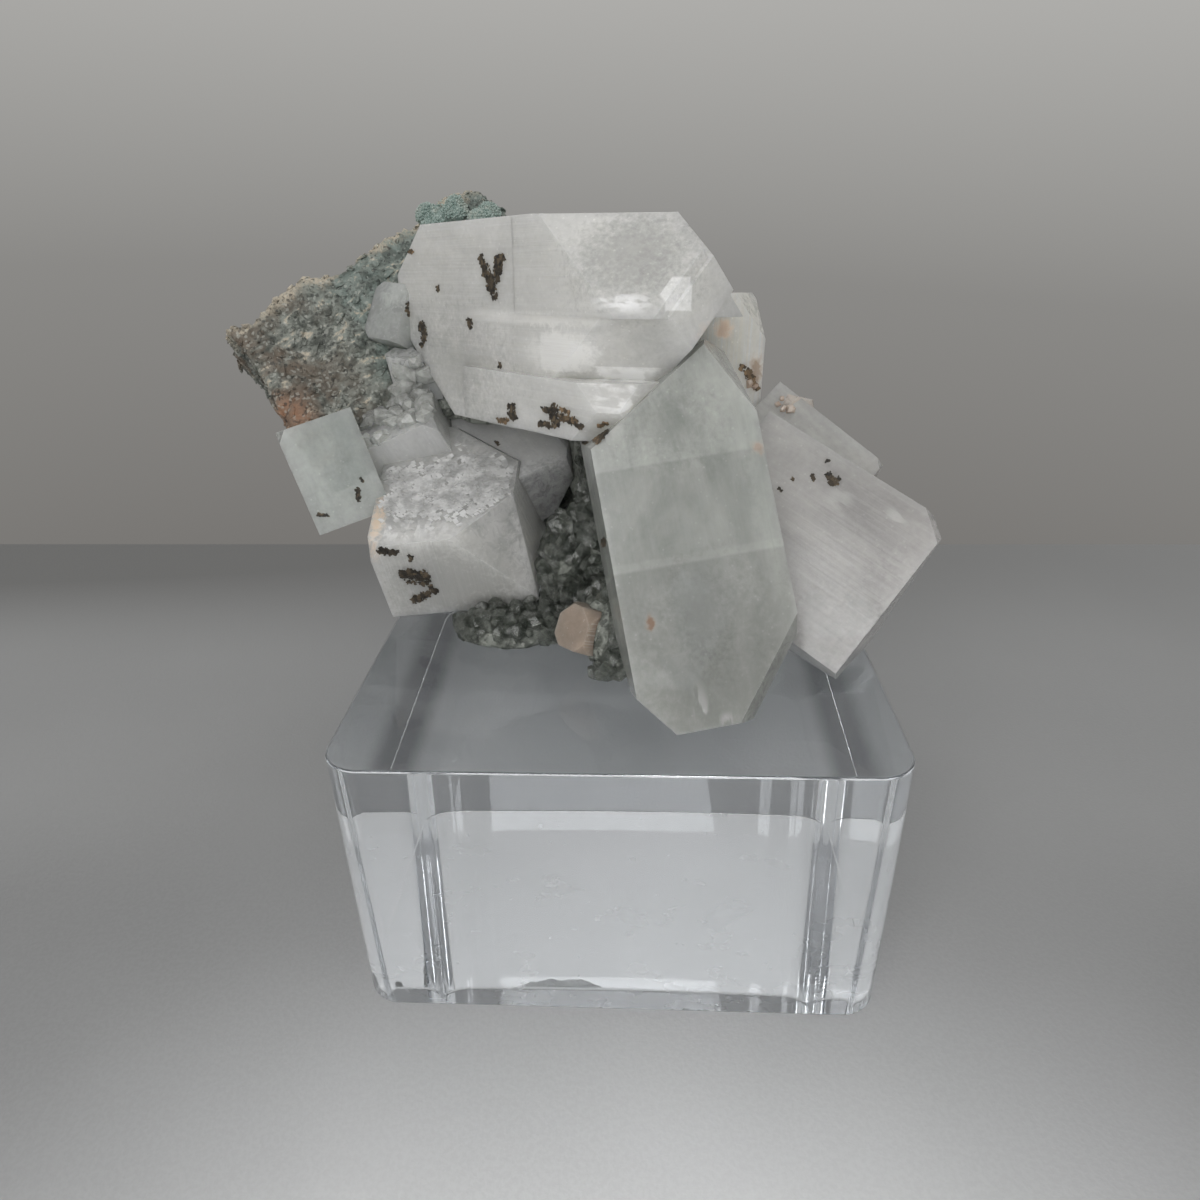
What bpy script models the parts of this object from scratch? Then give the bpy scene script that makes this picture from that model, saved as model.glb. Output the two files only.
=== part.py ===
"""Apophyllite crystals on basalt, resting on a clear display block.

Sizes are in millimetres and degrees, turned to metres where a mesh is made.
The origin is the centre of the block's underside, Z is up, and the front faces -Y.
"""

import math
import random

import bmesh
import bpy
from mathutils import Matrix, Vector, noise

MM = 0.001
WELD = 2e-5
CUT_TOLERANCE = 1e-8

# The display block
BLOCK_SIDE = 70.0
BLOCK_HEIGHT = 40.0
BLOCK_CORNER_RADIUS = 5.0
BLOCK_CORNER_STEPS = 10
BLOCK_EDGE_BEVEL = 0.5
BLOCK_EDGE_STEPS = 2

# Free space between touching pieces
GAP = 0.3
REST_HEIGHT = BLOCK_HEIGHT + GAP

# Angle between a crystal's long axis and the normal of its pyramid faces
PYRAMID_ANGLE = 60.4
BIG = 120.0

# Each crystal: centre, where its long axis points, its turn about that axis, its square
# section, and how far from the centre its free end, its root and its pyramid faces lie.
# The pyramid faces stand over the prism's edges, in the order of CORNERS.
CORNERS = ((1, 1), (1, -1), (-1, 1), (-1, -1))

TOP_CRYSTAL = dict(
    centre=(2, 6.4, 82.6), heading=-48, rise=4, spin=175, width=29, depth=26.5,
    end=17, root=39.8, slopes=(13.1, 15.5, 5.8, 11.6), root_slopes=(29.1, 32.5, 40, 40),
)
TOP_UPPER_STEP = dict(
    centre=(1.6, 6.1, 82.7), heading=-48, rise=4, spin=175, width=28.5, depth=26,
    end=16.7, root=6.8, slopes=(40, 16.3, 40, 11.3), root_slopes=(40, 40, 40, 40),
    breaks=(((0, 1, 0), -1.6),),
)
TOP_LOWER_STEP = dict(
    centre=(-4.8, -0.4, 74.2), heading=-48, rise=4, spin=175, width=14, depth=7,
    end=13.6, root=18.9, slopes=(9.7, 10.2, 15, 27.2), root_slopes=(16.5, 19.4, 40, 40),
)
FRONT_CRYSTAL = dict(
    centre=(9.1, -17.7, 58.1), heading=-70, rise=-57, spin=100, width=11, depth=20.2,
    end=19.1, root=27, slopes=(18, 13.5, 12.7, 9.2), root_slopes=(40, 40, 30, 30),
    breaks=(((-0.1, 0.78, 0.62), 16.2), ((0.3, 0.53, -0.79), 18.8), ((0.52, -0.76, -0.4), 17)),
)
RIGHT_CRYSTAL = dict(
    centre=(32, -9, 51), heading=-35, rise=-22, spin=138, width=13.5, depth=23.5,
    end=5, root=23, slopes=(26.5, 12, 9, 5), root_slopes=(40, 40, 40, 40),
)
RIGHT_BACK_CRYSTAL = dict(
    centre=(27, 6, 60), heading=-32, rise=-30, spin=133, width=14, depth=13.5,
    end=6.5, root=12, slopes=(22.5, 11, 16.5, 8), root_slopes=(40, 40, 40, 40),
)
SMALL_TOP_CRYSTAL = dict(
    centre=(14.1, 12.1, 78.8), heading=72, rise=84, spin=125, width=9, depth=9.5,
    end=7.2, root=14.5, slopes=(6.3, 8.7, 5.8, 7.7), root_slopes=(40, 40, 40, 40),
)
SMALL_SIDE_CRYSTAL = dict(
    centre=(24, 9, 70), heading=36, rise=74, spin=163, width=4.5, depth=5,
    end=2.5, root=6, slopes=(3.5, 3, 3, 3), root_slopes=(20, 20, 20, 20),
)
WEDGE_CRYSTAL = dict(
    centre=(-36.4, 25.6, 81.8), heading=-118, rise=30, spin=87, width=9, depth=7,
    end=1.5, root=12.3, slopes=(4.9, 4.9, 4.9, 4.9), root_slopes=(40, 40, 40, 40),
)
LEFT_CRYSTAL = dict(
    centre=(-24.1, 8.1, 59.1), heading=-99, rise=70, spin=-77, width=27, depth=24.3,
    end=2, root=12.5, slopes=(9.1, 15.4, 8.1, 13.4), root_slopes=(40, 40, 40, 40),
    breaks=(((0.07, 0.98, 0.19), 8.8), ((-0.41, 0.91, -0.02), 11.3), ((0.1, 0.91, -0.4), 15.1)),
)
LEFT_UPPER_CRYSTAL = dict(
    centre=(-35.5, 17, 66), heading=-132, rise=62, spin=-38, width=12, depth=14,
    end=2, root=14, slopes=(8, 8, 8, 8), root_slopes=(40, 40, 40, 40),
)
LEFT_SMALL_CRYSTAL = dict(
    centre=(-33.5, 23, 73), heading=-106, rise=76, spin=-54, width=7, depth=7,
    end=4, root=10, slopes=(4.5, 4.5, 4.5, 4.5), root_slopes=(40, 40, 40, 40),
)
LEFT_OUTER_CRYSTAL = dict(
    centre=(-42.8, 8.7, 59.6), heading=153, rise=70, spin=50, width=13, depth=11,
    end=10, root=5.5, slopes=(13.5, 11.5, 13, 12), root_slopes=(40, 40, 40, 40),
)
GREY_CRYSTAL = dict(
    centre=(-17.5, 14, 60.5), heading=-56, rise=-17, spin=158, width=14, depth=14,
    end=6.5, root=14.5, slopes=(8, 8, 9.5, 9.5), root_slopes=(40, 40, 40, 40),
    breaks=(((0.58, -0.81, -0.04), 2.7),),
)
PEACH_CRYSTAL = dict(
    centre=(-4.4, -13, 46.8), heading=-132, rise=27, spin=91, width=6, depth=5.5,
    end=2.8, root=4.6, slopes=(3.7, 3.7, 4.1, 4.1), root_slopes=(20, 20, 20, 20),
)

# The basalt: one broken slab, and the rounded masses that carry the crystals
SLAB_TIP = Vector((-62.4, 21.3, 81.0))
SLAB_ALONG = Vector((0.79, 0.48, 0.385))
SLAB_DOWN = Vector((0.56, -0.36, -0.75))
SLAB_SIZE = (49.0, 30.0, 20.0)
SLAB_CHIPS = (
    # which way the chip faces, along, down and inward, and where its plane passes from the tip
    ((1, -1, -0.4), (46, 0, 0)),
    ((-0.6, 0, 1), (0, 0, 14)),
    ((0, 0.8, 1), (10, 18, 16)),
    ((-0.25, 0, -1), (2, 0, 0)),
)
ROCK_MASSES = (
    # centre, half sizes
    ((-14, 35, 64), (22, 15, 19)),
    ((4, 17, 61), (13, 13, 15)),
    ((1, 3, 55), (7, 11, 11)),
    ((0, -10, 45), (5.5, 8, 6)),
    ((-14.5, -1.2, 41), (9.5, 7.4, 3.5)),
    ((-4, 4, 48), (7.5, 8, 9.5)),
    ((-8, 26, 47), (18, 13, 8)),
)
ROCK_VOXEL = 2.5
ROCK_ROUGHNESS = 1.3
ROCK_SWELL_GRAIN = 0.11
ROCK_CHIP_GRAIN = 0.143
ROCK_MEAN = 0.5

# Small crystals that line the rock where it is open to the front
DRUSE_COUNT = 34
DRUSE_SIZES = (1.1, 2.4)
DRUSE_SPACING = 2.6
DRUSE_LEAN = 0.5
DRUSE_LEFT, DRUSE_RIGHT = -20.0, 6.0
DRUSE_BACK = 6.0
DRUSE_FACING = 0.1
DRUSE_LOW, DRUSE_HIGH = 41.5, 68.0
ROOM_ROUND_PEACH = 6.5
# Shares of a druse crystal's size: width, depth, free end and pyramid faces
DRUSE_SHAPE = (1.5, 1.3, 1.3, 1.05)

# The lumps of the green tuft, which is highest in its middle
TUFT_CENTRE = (-27.5, 41.0, 94.5)
TUFT_SPREAD = (6.0, 3.0, 1.6)
TUFT_COUNT = 16
TUFT_SIZES = (1.2, 2.0)
TUFT_CROWN = 1.0
TUFT_FALL = 0.3


def clear_scene():
    for obj in list(bpy.data.objects):
        bpy.data.objects.remove(obj)


def make_collection(name, hidden=False):
    collection = bpy.data.collections.new(name)
    bpy.context.scene.collection.children.link(collection)
    collection.hide_render = hidden
    return collection


def make_material(name, colour, roughness, transmission=0.0, ior=1.5):
    material = bpy.data.materials.new(name)
    material.use_nodes = True
    shader = material.node_tree.nodes["Principled BSDF"]
    shader.inputs["Base Color"].default_value = (*colour, 1.0)
    shader.inputs["Roughness"].default_value = roughness
    shader.inputs["Metallic"].default_value = 0.0
    shader.inputs["Transmission Weight"].default_value = transmission
    shader.inputs["IOR"].default_value = ior
    material.diffuse_color = (*colour, 1.0)
    return material


def add_object(name, bm, collection, material=None, hidden=False):
    bmesh.ops.recalc_face_normals(bm, faces=bm.faces[:])
    mesh = bpy.data.meshes.new(name)
    bm.to_mesh(mesh)
    bm.free()
    obj = bpy.data.objects.new(name, mesh)
    collection.objects.link(obj)
    if material:
        mesh.materials.append(material)
    if hidden:
        obj.hide_render = True
        obj.display_type = "WIRE"
    return obj


def crystal_axes(heading, rise, spin):
    """Width, depth and long axis of a crystal, as the columns of a rotation."""
    turn, lift, roll = (math.radians(v) for v in (heading, rise, spin))
    axis = Vector((math.cos(lift) * math.cos(turn), math.cos(lift) * math.sin(turn), math.sin(lift)))
    level = Vector((0, 0, 1)).cross(axis).normalized()
    wide = level * math.cos(roll) + axis.cross(level) * math.sin(roll)
    return wide, axis.cross(wide), axis


def slice_off(bm, point, normal):
    """Cuts away what lies beyond a plane, and closes the cut with one flat face."""
    geometry = bm.verts[:] + bm.edges[:] + bm.faces[:]
    cut = bmesh.ops.bisect_plane(
        bm, geom=geometry, dist=CUT_TOLERANCE, plane_co=point, plane_no=normal, clear_outer=True
    )
    rim = [e for e in cut["geom_cut"] if isinstance(e, bmesh.types.BMEdge)]
    if len(rim) > 2:
        bmesh.ops.contextual_create(bm, geom=rim)


def crystal_mesh(spec, grow=0.0):
    """A square prism with pyramid faces over its edges: a big cube, sliced face by face."""
    wide, deep, axis = crystal_axes(spec["heading"], spec["rise"], spec["spin"])
    tilt = math.radians(PYRAMID_ANGLE)
    side, along = math.sin(tilt) / math.sqrt(2), math.cos(tilt)
    planes = [(wide, spec["width"] / 2), (-wide, spec["width"] / 2)]
    planes += [(deep, spec["depth"] / 2), (-deep, spec["depth"] / 2)]
    planes += [(axis, spec["end"]), (-axis, spec["root"])]
    for (w, d), reach, back in zip(CORNERS, spec["slopes"], spec["root_slopes"]):
        corner = (wide * w + deep * d) * side
        planes += [(corner + axis * along, reach), (corner - axis * along, back)]
    for (w, d, a), reach in spec.get("breaks", ()):
        planes.append(((wide * w + deep * d + axis * a).normalized(), reach))
    bm = bmesh.new()
    bmesh.ops.create_cube(bm, size=BIG * MM)
    centre = Vector(spec["centre"])
    bmesh.ops.translate(bm, vec=centre * MM, verts=bm.verts)
    for normal, reach in planes:
        slice_off(bm, (centre + normal * (reach + grow)) * MM, normal)
    bmesh.ops.remove_doubles(bm, verts=bm.verts, dist=WELD)
    return bm


def apply_modifiers(obj):
    graph = bpy.context.evaluated_depsgraph_get()
    mesh = bpy.data.meshes.new_from_object(obj.evaluated_get(graph))
    old = obj.data
    obj.modifiers.clear()
    obj.data = mesh
    bpy.data.meshes.remove(old)


def boolean(obj, other, operation, self_overlap=False):
    modifier = obj.modifiers.new(operation.title(), "BOOLEAN")
    modifier.operation = operation
    modifier.solver = "EXACT"
    modifier.object = other
    modifier.use_self = self_overlap
    bpy.context.view_layer.update()
    apply_modifiers(obj)


def keep_largest(obj):
    """Drops the crumbs that a cut leaves loose, and welds its shortest edges."""
    bm = bmesh.new()
    bm.from_mesh(obj.data)
    bmesh.ops.remove_doubles(bm, verts=bm.verts, dist=WELD)
    islands, seen = [], set()
    for start in bm.verts:
        if start in seen:
            continue
        island, stack = [], [start]
        seen.add(start)
        while stack:
            vert = stack.pop()
            island.append(vert)
            for edge in vert.link_edges:
                other = edge.other_vert(vert)
                if other not in seen:
                    seen.add(other)
                    stack.append(other)
        islands.append(island)
    islands.sort(key=len, reverse=True)
    for island in islands[1:]:
        bmesh.ops.delete(bm, geom=island, context="VERTS")
    bm.to_mesh(obj.data)
    bm.free()


def grown_together(name, specs, neighbours, collection, cutters, material):
    """Joins crystals that overlap in one solid, clear of the crystals that it grew against."""
    obj = add_object(name, crystal_mesh(specs[0]), collection, material)
    for spec in specs[1:]:
        piece = add_object(name + "_piece", crystal_mesh(spec), cutters, hidden=True)
        boolean(obj, piece, "UNION")
    for spec in neighbours:
        cutter = add_object(name + "_cutter", crystal_mesh(spec, GAP), cutters, hidden=True)
        boolean(obj, cutter, "DIFFERENCE")
    keep_largest(obj)
    return obj


def display_block(collection, material):
    bm = bmesh.new()
    bmesh.ops.create_cube(bm, size=1.0)
    bmesh.ops.scale(bm, vec=Vector((BLOCK_SIDE, BLOCK_SIDE, BLOCK_HEIGHT)) * MM, verts=bm.verts)
    upright = [e for e in bm.edges if abs(e.verts[0].co.z - e.verts[1].co.z) > BLOCK_HEIGHT * MM / 2]
    bmesh.ops.bevel(
        bm, geom=upright, offset=BLOCK_CORNER_RADIUS * MM, segments=BLOCK_CORNER_STEPS,
        profile=0.5, affect="EDGES",
    )
    bm.normal_update()
    rims = [e for e in bm.edges if {abs(f.normal.z) > 0.9 for f in e.link_faces} == {True, False}]
    bmesh.ops.bevel(
        bm, geom=rims, offset=BLOCK_EDGE_BEVEL * MM, segments=BLOCK_EDGE_STEPS,
        profile=0.5, affect="EDGES",
    )
    obj = add_object("display_block", bm, collection, material)
    obj.location.z = BLOCK_HEIGHT * MM / 2
    return obj


def slab_mesh():
    """The broken slab at the upper left, a box chipped at four places."""
    along = SLAB_ALONG.normalized()
    down = (SLAB_DOWN - along * SLAB_DOWN.dot(along)).normalized()
    inward = along.cross(down)
    length, drop, thick = SLAB_SIZE
    turn = Matrix((along, down, inward)).transposed().to_4x4()
    centre = SLAB_TIP + along * length / 2 + down * drop / 2 + inward * thick / 2
    bm = bmesh.new()
    bmesh.ops.create_cube(bm, size=1.0)
    bmesh.ops.scale(bm, vec=Vector(SLAB_SIZE) * MM, verts=bm.verts)
    bmesh.ops.transform(bm, matrix=Matrix.Translation(centre * MM) @ turn, verts=bm.verts)
    for facing, passing in SLAB_CHIPS:
        normal = along * facing[0] + down * facing[1] + inward * facing[2]
        point = SLAB_TIP + along * passing[0] + down * passing[1] + inward * passing[2]
        slice_off(bm, point * MM, normal.normalized())
    return bm


def rock_mesh(cutters):
    """The slab and the rounded masses in one skin, pushed in and out like broken basalt."""
    rock = add_object("rock_base", slab_mesh(), cutters, hidden=True)
    for centre, halves in ROCK_MASSES:
        bm = bmesh.new()
        bmesh.ops.create_icosphere(bm, subdivisions=3, radius=MM)
        bmesh.ops.scale(bm, vec=Vector(halves), verts=bm.verts)
        bmesh.ops.translate(bm, vec=Vector(centre) * MM, verts=bm.verts)
        mass = add_object("rock_mass", bm, cutters, hidden=True)
        boolean(rock, mass, "UNION")
    remesh = rock.modifiers.new("Skin", "REMESH")
    remesh.mode = "VOXEL"
    remesh.voxel_size = ROCK_VOXEL * MM
    bpy.context.view_layer.update()
    apply_modifiers(rock)
    bm = bmesh.new()
    bm.from_mesh(rock.data)
    bm.normal_update()
    moves = []
    for vert in bm.verts:
        place = vert.co / MM
        swell = noise.fractal(place * ROCK_SWELL_GRAIN, 1.0, 2.0, 4)
        chip = noise.voronoi(place * ROCK_CHIP_GRAIN)[0][0]
        moves.append(vert.normal * (swell + chip - ROCK_MEAN) * ROCK_ROUGHNESS * MM)
    for vert, move in zip(bm.verts, moves):
        vert.co += move
    return bm


def druse_mesh(rock, randomiser):
    """Small pointed crystals on the rock in the gap between the big ones, and at its foot."""
    wide, deep, end, slope = DRUSE_SHAPE
    spots = []
    verts = list(rock.data.vertices)
    randomiser.shuffle(verts)
    for vert in verts:
        x, y, z = vert.co / MM
        front = y < DRUSE_BACK and vert.normal.y < DRUSE_FACING
        inside = DRUSE_LEFT < x < DRUSE_RIGHT and DRUSE_LOW < z < DRUSE_HIGH
        to_peach = (Vector((x, y, z)) - Vector(PEACH_CRYSTAL["centre"])).length
        if to_peach < ROOM_ROUND_PEACH or not (front and inside):
            continue
        if all((vert.co - other).length > DRUSE_SPACING * MM for other, _ in spots):
            spots.append((vert.co.copy(), vert.normal.copy()))
        if len(spots) == DRUSE_COUNT:
            break
    druse = bmesh.new()
    for place, normal in spots:
        lean = Vector([randomiser.uniform(-DRUSE_LEAN, DRUSE_LEAN) for _ in range(3)])
        axis = (normal + lean).normalized()
        size = randomiser.uniform(*DRUSE_SIZES)
        spec = dict(
            centre=place / MM,
            heading=math.degrees(math.atan2(axis.y, axis.x)),
            rise=math.degrees(math.asin(axis.z)),
            spin=randomiser.uniform(0, 90),
            width=size * wide, depth=size * deep, end=size * end, root=size,
            slopes=(size * slope,) * 4, root_slopes=(BIG,) * 4,
        )
        small = crystal_mesh(spec)
        mesh = bpy.data.meshes.new("druse_crystal")
        small.to_mesh(mesh)
        small.free()
        druse.from_mesh(mesh)
        bpy.data.meshes.remove(mesh)
    return druse


def tuft_mesh(randomiser):
    """The green tuft on the slab's top edge, a heap of small lumps."""
    tuft = bmesh.new()
    for _ in range(TUFT_COUNT):
        offset = Vector([randomiser.uniform(-s, s) for s in TUFT_SPREAD])
        made = bmesh.ops.create_icosphere(
            tuft, subdivisions=1, radius=randomiser.uniform(*TUFT_SIZES) * MM
        )
        turn = Matrix.Rotation(randomiser.uniform(0, 3), 4, offset + Vector((0, 0, 1)))
        place = Vector(TUFT_CENTRE) + offset
        place.z += TUFT_CROWN - abs(offset.x) * TUFT_FALL
        move = Matrix.Translation(place * MM) @ turn
        bmesh.ops.transform(tuft, matrix=move, verts=made["verts"])
    return tuft


def basalt(crystals, collection, cutters, material):
    randomiser = random.Random(7)
    rock = add_object("basalt_matrix", rock_mesh(cutters), collection, material)
    for name, bm in (("druse", druse_mesh(rock, randomiser)), ("tuft", tuft_mesh(randomiser))):
        piece = add_object(name, bm, cutters, hidden=True)
        boolean(rock, piece, "UNION", self_overlap=True)
    for spec in crystals:
        cutter = add_object("socket", crystal_mesh(spec, GAP), cutters, hidden=True)
        boolean(rock, cutter, "DIFFERENCE")
    bm = bmesh.new()
    bmesh.ops.create_cube(bm, size=BIG * MM)
    bmesh.ops.translate(bm, vec=(0, 0, (REST_HEIGHT - BIG / 2) * MM), verts=bm.verts)
    boolean(rock, add_object("ground", bm, cutters, hidden=True), "DIFFERENCE")
    keep_largest(rock)
    return rock


def main():
    clear_scene()
    parts = make_collection("apophyllite")
    cutters = make_collection("cutters", hidden=True)
    clear = make_material("acrylic", (0.95, 0.97, 1.0), 0.02, transmission=1.0, ior=1.49)
    milky = make_material("apophyllite", (0.80, 0.83, 0.81), 0.15, transmission=0.8, ior=1.535)
    grey = make_material("apophyllite_grey", (0.52, 0.56, 0.54), 0.25, transmission=0.6, ior=1.535)
    peach = make_material("stilbite", (0.76, 0.60, 0.50), 0.4)
    dark = make_material("basalt", (0.23, 0.24, 0.22), 0.85)

    display_block(parts, clear)
    main_crystals = (
        TOP_CRYSTAL, TOP_UPPER_STEP, TOP_LOWER_STEP, FRONT_CRYSTAL, RIGHT_CRYSTAL,
        RIGHT_BACK_CRYSTAL, SMALL_TOP_CRYSTAL, SMALL_SIDE_CRYSTAL, WEDGE_CRYSTAL,
    )
    left_crystals = (LEFT_CRYSTAL, LEFT_UPPER_CRYSTAL, LEFT_SMALL_CRYSTAL, LEFT_OUTER_CRYSTAL)
    growth = (
        ("main_crystals", main_crystals, milky),
        ("left_crystals", left_crystals, milky),
        ("grey_crystal", (GREY_CRYSTAL,), grey),
        ("peach_crystal", (PEACH_CRYSTAL,), peach),
    )
    grown = ()
    for name, specs, material in growth:
        grown_together(name, specs, grown, parts, cutters, material)
        grown += specs
    basalt(grown, parts, cutters, dark)


main()
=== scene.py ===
# %% [markdown]
# # Apophyllite crystals on basalt, on a clear display block
#
# The real thing is a mineral specimen: square, glassy to milky apophyllite prisms that grew on a
# piece of dark volcanic rock, set down on a block of clear acrylic. This lesson rebuilds it round a
# fixed frame of plain solids. Sizes are in millimetres until a mesh or a material is made.

import math
import random

import bmesh
import bpy
import numpy as np
from mathutils import Matrix, Vector, noise
from mathutils.bvhtree import BVHTree


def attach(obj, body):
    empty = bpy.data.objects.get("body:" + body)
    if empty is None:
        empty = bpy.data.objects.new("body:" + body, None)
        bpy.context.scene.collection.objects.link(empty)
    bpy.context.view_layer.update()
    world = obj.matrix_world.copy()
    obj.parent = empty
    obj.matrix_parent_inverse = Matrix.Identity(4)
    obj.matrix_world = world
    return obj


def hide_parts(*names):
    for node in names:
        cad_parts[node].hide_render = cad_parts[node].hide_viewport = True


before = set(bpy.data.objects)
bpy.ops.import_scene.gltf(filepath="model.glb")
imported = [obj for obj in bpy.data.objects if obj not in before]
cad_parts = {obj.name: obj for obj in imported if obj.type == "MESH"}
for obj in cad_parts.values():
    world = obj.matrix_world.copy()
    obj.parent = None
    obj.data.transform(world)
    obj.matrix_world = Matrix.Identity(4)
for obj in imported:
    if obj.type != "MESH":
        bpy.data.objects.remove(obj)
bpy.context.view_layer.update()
MM = 0.001
print("frame pieces:", sorted(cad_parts))

# %% [markdown]
# ## The camera
#
# The photograph was taken from a little above, close by, with a wide lens. The block's edges give
# the place and the turn of the camera, so the camera comes first and everything is set against it.

# %% Set the camera where the photograph was taken
PICTURE = 1200
FOCAL = 832.995
SENSOR = 36.0
CAMERA_PLACE = Vector((3.22, -110.26, 101.04))
PITCH, YAW, ROLL = 0.4737, 0.0577, -0.0227


def camera_axes():
    """Right, up and forward of the camera, as the photograph has them."""
    cp, sp, cy, sy = math.cos(PITCH), math.sin(PITCH), math.cos(YAW), math.sin(YAW)
    forward = Vector((-sy * cp, cy * cp, -sp))
    level = Vector((cy, sy, 0))
    above = level.cross(forward)
    cr, sr = math.cos(ROLL), math.sin(ROLL)
    return level * cr + above * sr, above * cr - level * sr, forward


RIGHT, UP, FORWARD = camera_axes()
camera = bpy.data.objects.new("camera", bpy.data.cameras.new("camera"))
bpy.context.scene.collection.objects.link(camera)
camera.data.sensor_width = SENSOR
camera.data.lens = SENSOR * FOCAL / PICTURE
camera.data.clip_start, camera.data.clip_end = 0.001, 20
camera.matrix_world = (
    Matrix.Translation(CAMERA_PLACE * MM) @ Matrix((RIGHT, UP, -FORWARD)).transposed().to_4x4()
)
bpy.context.scene.camera = camera
bpy.context.scene.view_settings.view_transform = "Standard"
light_paths = bpy.context.scene.cycles
light_paths.max_bounces = light_paths.glossy_bounces = light_paths.transmission_bounces = 24
print("lens", round(camera.data.lens, 2), "mm")


def ray_through(x, y):
    """Direction from the camera through a point of the picture."""
    across, down = (x - PICTURE / 2) / FOCAL, (y - PICTURE / 2) / FOCAL
    return (FORWARD + RIGHT * across - UP * down).normalized()


# %% [markdown]
# ## A short way to write materials
#
# A material is a net of nodes. Written out link by link it is hard to read, so one small class
# wraps a socket and lets Python's own + - * / make the Math nodes, and a second class adds any
# other node by its kind, its settings and its sockets.

# %% A socket that can be used in sums
class Flow:
    """What comes out of a node. Sums with it add Math nodes to the same material."""

    def __init__(self, finish, socket):
        self.finish, self.socket = finish, socket

    def math(self, operation, *values):
        return self.finish.node("Math", {"operation": operation}, dict(enumerate(values)))

    def __add__(self, other):
        return self.math("ADD", self, other)

    def __sub__(self, other):
        return self.math("SUBTRACT", self, other)

    def __mul__(self, other):
        return self.math("MULTIPLY", self, other)

    def __truediv__(self, other):
        return self.math("DIVIDE", self, other)

    def __pow__(self, other):
        return self.math("POWER", self, other)

    def __rsub__(self, other):
        return self.math("SUBTRACT", other, self)

    def __rtruediv__(self, other):
        return self.math("DIVIDE", other, self)

    def __neg__(self):
        return self.math("MULTIPLY", self, -1.0)

    __radd__, __rmul__ = __add__, __mul__

    def size(self):
        return self.math("ABSOLUTE", self)

    def most(self, other):
        return self.math("MAXIMUM", self, other)

    def least(self, other):
        return self.math("MINIMUM", self, other)

    def rise(self, low, high):
        """0 below low, 1 above high, and a soft S between them."""
        return self.finish.node(
            "MapRange", {"interpolation_type": "SMOOTHSTEP"},
            {"Value": self, "From Min": low, "From Max": high},
        )


# %% A material under construction
class Finish:
    """A material: node() adds any node, and the rest are short ways to the usual ones."""

    def __init__(self, name, tree=None):
        self.material = None if tree else bpy.data.materials.new(name)
        if self.material:
            self.material.use_nodes = True
            tree = self.material.node_tree
        self.tree = tree
        self.tree.nodes.clear()

    def node(self, kind, settings=None, sockets=None, take=0):
        made = self.tree.nodes.new("ShaderNode" + kind)
        for key, value in (settings or {}).items():
            if key == "stops":
                ramp = made.color_ramp.elements
                while len(ramp) < len(value):
                    ramp.new(0.5)
                for stop, (place, colour) in zip(ramp, value):
                    stop.position, stop.color = place, (*colour, 1.0)
            else:
                setattr(made, key, value)
        for key, value in (sockets or {}).items():
            if isinstance(value, Flow):
                self.tree.links.new(value.socket, made.inputs[key])
            elif hasattr(value, "__len__") and made.inputs[key].type == "RGBA":
                made.inputs[key].default_value = (*value[:3], 1.0)
            else:
                made.inputs[key].default_value = value
        return Flow(self, made.outputs[take])

    def split(self, vector):
        first = self.node("SeparateXYZ", {}, {0: vector})
        return [Flow(self, out) for out in first.socket.node.outputs]

    def place(self, scale=1000.0, turn=None, centre=Vector((0, 0, 0))):
        """Object coordinates in millimetres, from a centre and along the axes of a rotation."""
        turn = turn or Matrix.Identity(3)
        where = self.node("TexCoord", {}, {}, "Object")
        return self.node("Mapping", {}, {
            "Vector": where, "Scale": (scale,) * 3,
            "Rotation": turn.transposed().to_euler(), "Location": -(turn.transposed() @ centre),
        })

    def stretch(self, vector, scale):
        return self.node("VectorMath", {"operation": "MULTIPLY"}, {0: vector, 1: scale})

    def noise(self, vector, scale=1.0, detail=3.0, rough=0.5, bend=0.0):
        return self.node("TexNoise", {}, {
            "Vector": vector, "Scale": scale, "Detail": detail, "Roughness": rough, "Distortion": bend,
        })

    def cells(self, vector, scale, feature="F1", take=0, spread=1.0):
        return self.node("TexVoronoi", {"feature": feature},
                         {"Vector": vector, "Scale": scale, "Randomness": spread}, take)

    def mix(self, factor, first, second, blend="MIX"):
        return self.node("Mix", {"data_type": "RGBA", "blend_type": blend},
                         {0: factor, 6: first, 7: second}, 2)

    def ramp(self, value, *stops):
        return self.node("ValToRGB", {"stops": stops}, {0: value})

    def bump(self, height, depth, strength=1.0, under=None):
        sockets = {"Height": height, "Distance": depth * MM, "Strength": strength}
        if under:
            sockets["Normal"] = under
        return self.node("Bump", {}, sockets)

    def principled(self, **sockets):
        return self.node("BsdfPrincipled", {}, {k.replace("_", " "): v for k, v in sockets.items()})

    def surface(self, shader, volume=None):
        sockets = {"Surface": shader}
        if volume:
            sockets["Volume"] = volume
        self.node_out("OutputMaterial", sockets)
        return self.material

    def node_out(self, kind, sockets):
        made = self.tree.nodes.new("ShaderNode" + kind)
        for key, value in sockets.items():
            self.tree.links.new(value.socket, made.inputs[key])


# %% [markdown]
# ## The studio
#
# The photograph shows a grey table that ends a hand's width behind the block, a grey wall that gets
# lighter upwards, and soft light from above. A finite floor, a graded sky and broad area lamps give
# the same, and leave the object open from behind. Part of the table's light is painted into its
# colour: painted shade darkens it towards its back edge and its left, painted light lightens it from
# about the block's middle backwards, and a patch of painted light lies under the block.

# %% Floor
FLOOR_BACK = 124.0
FLOOR_REACH = 900.0
AIR_UNDER_BLOCK = 0.1
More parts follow.
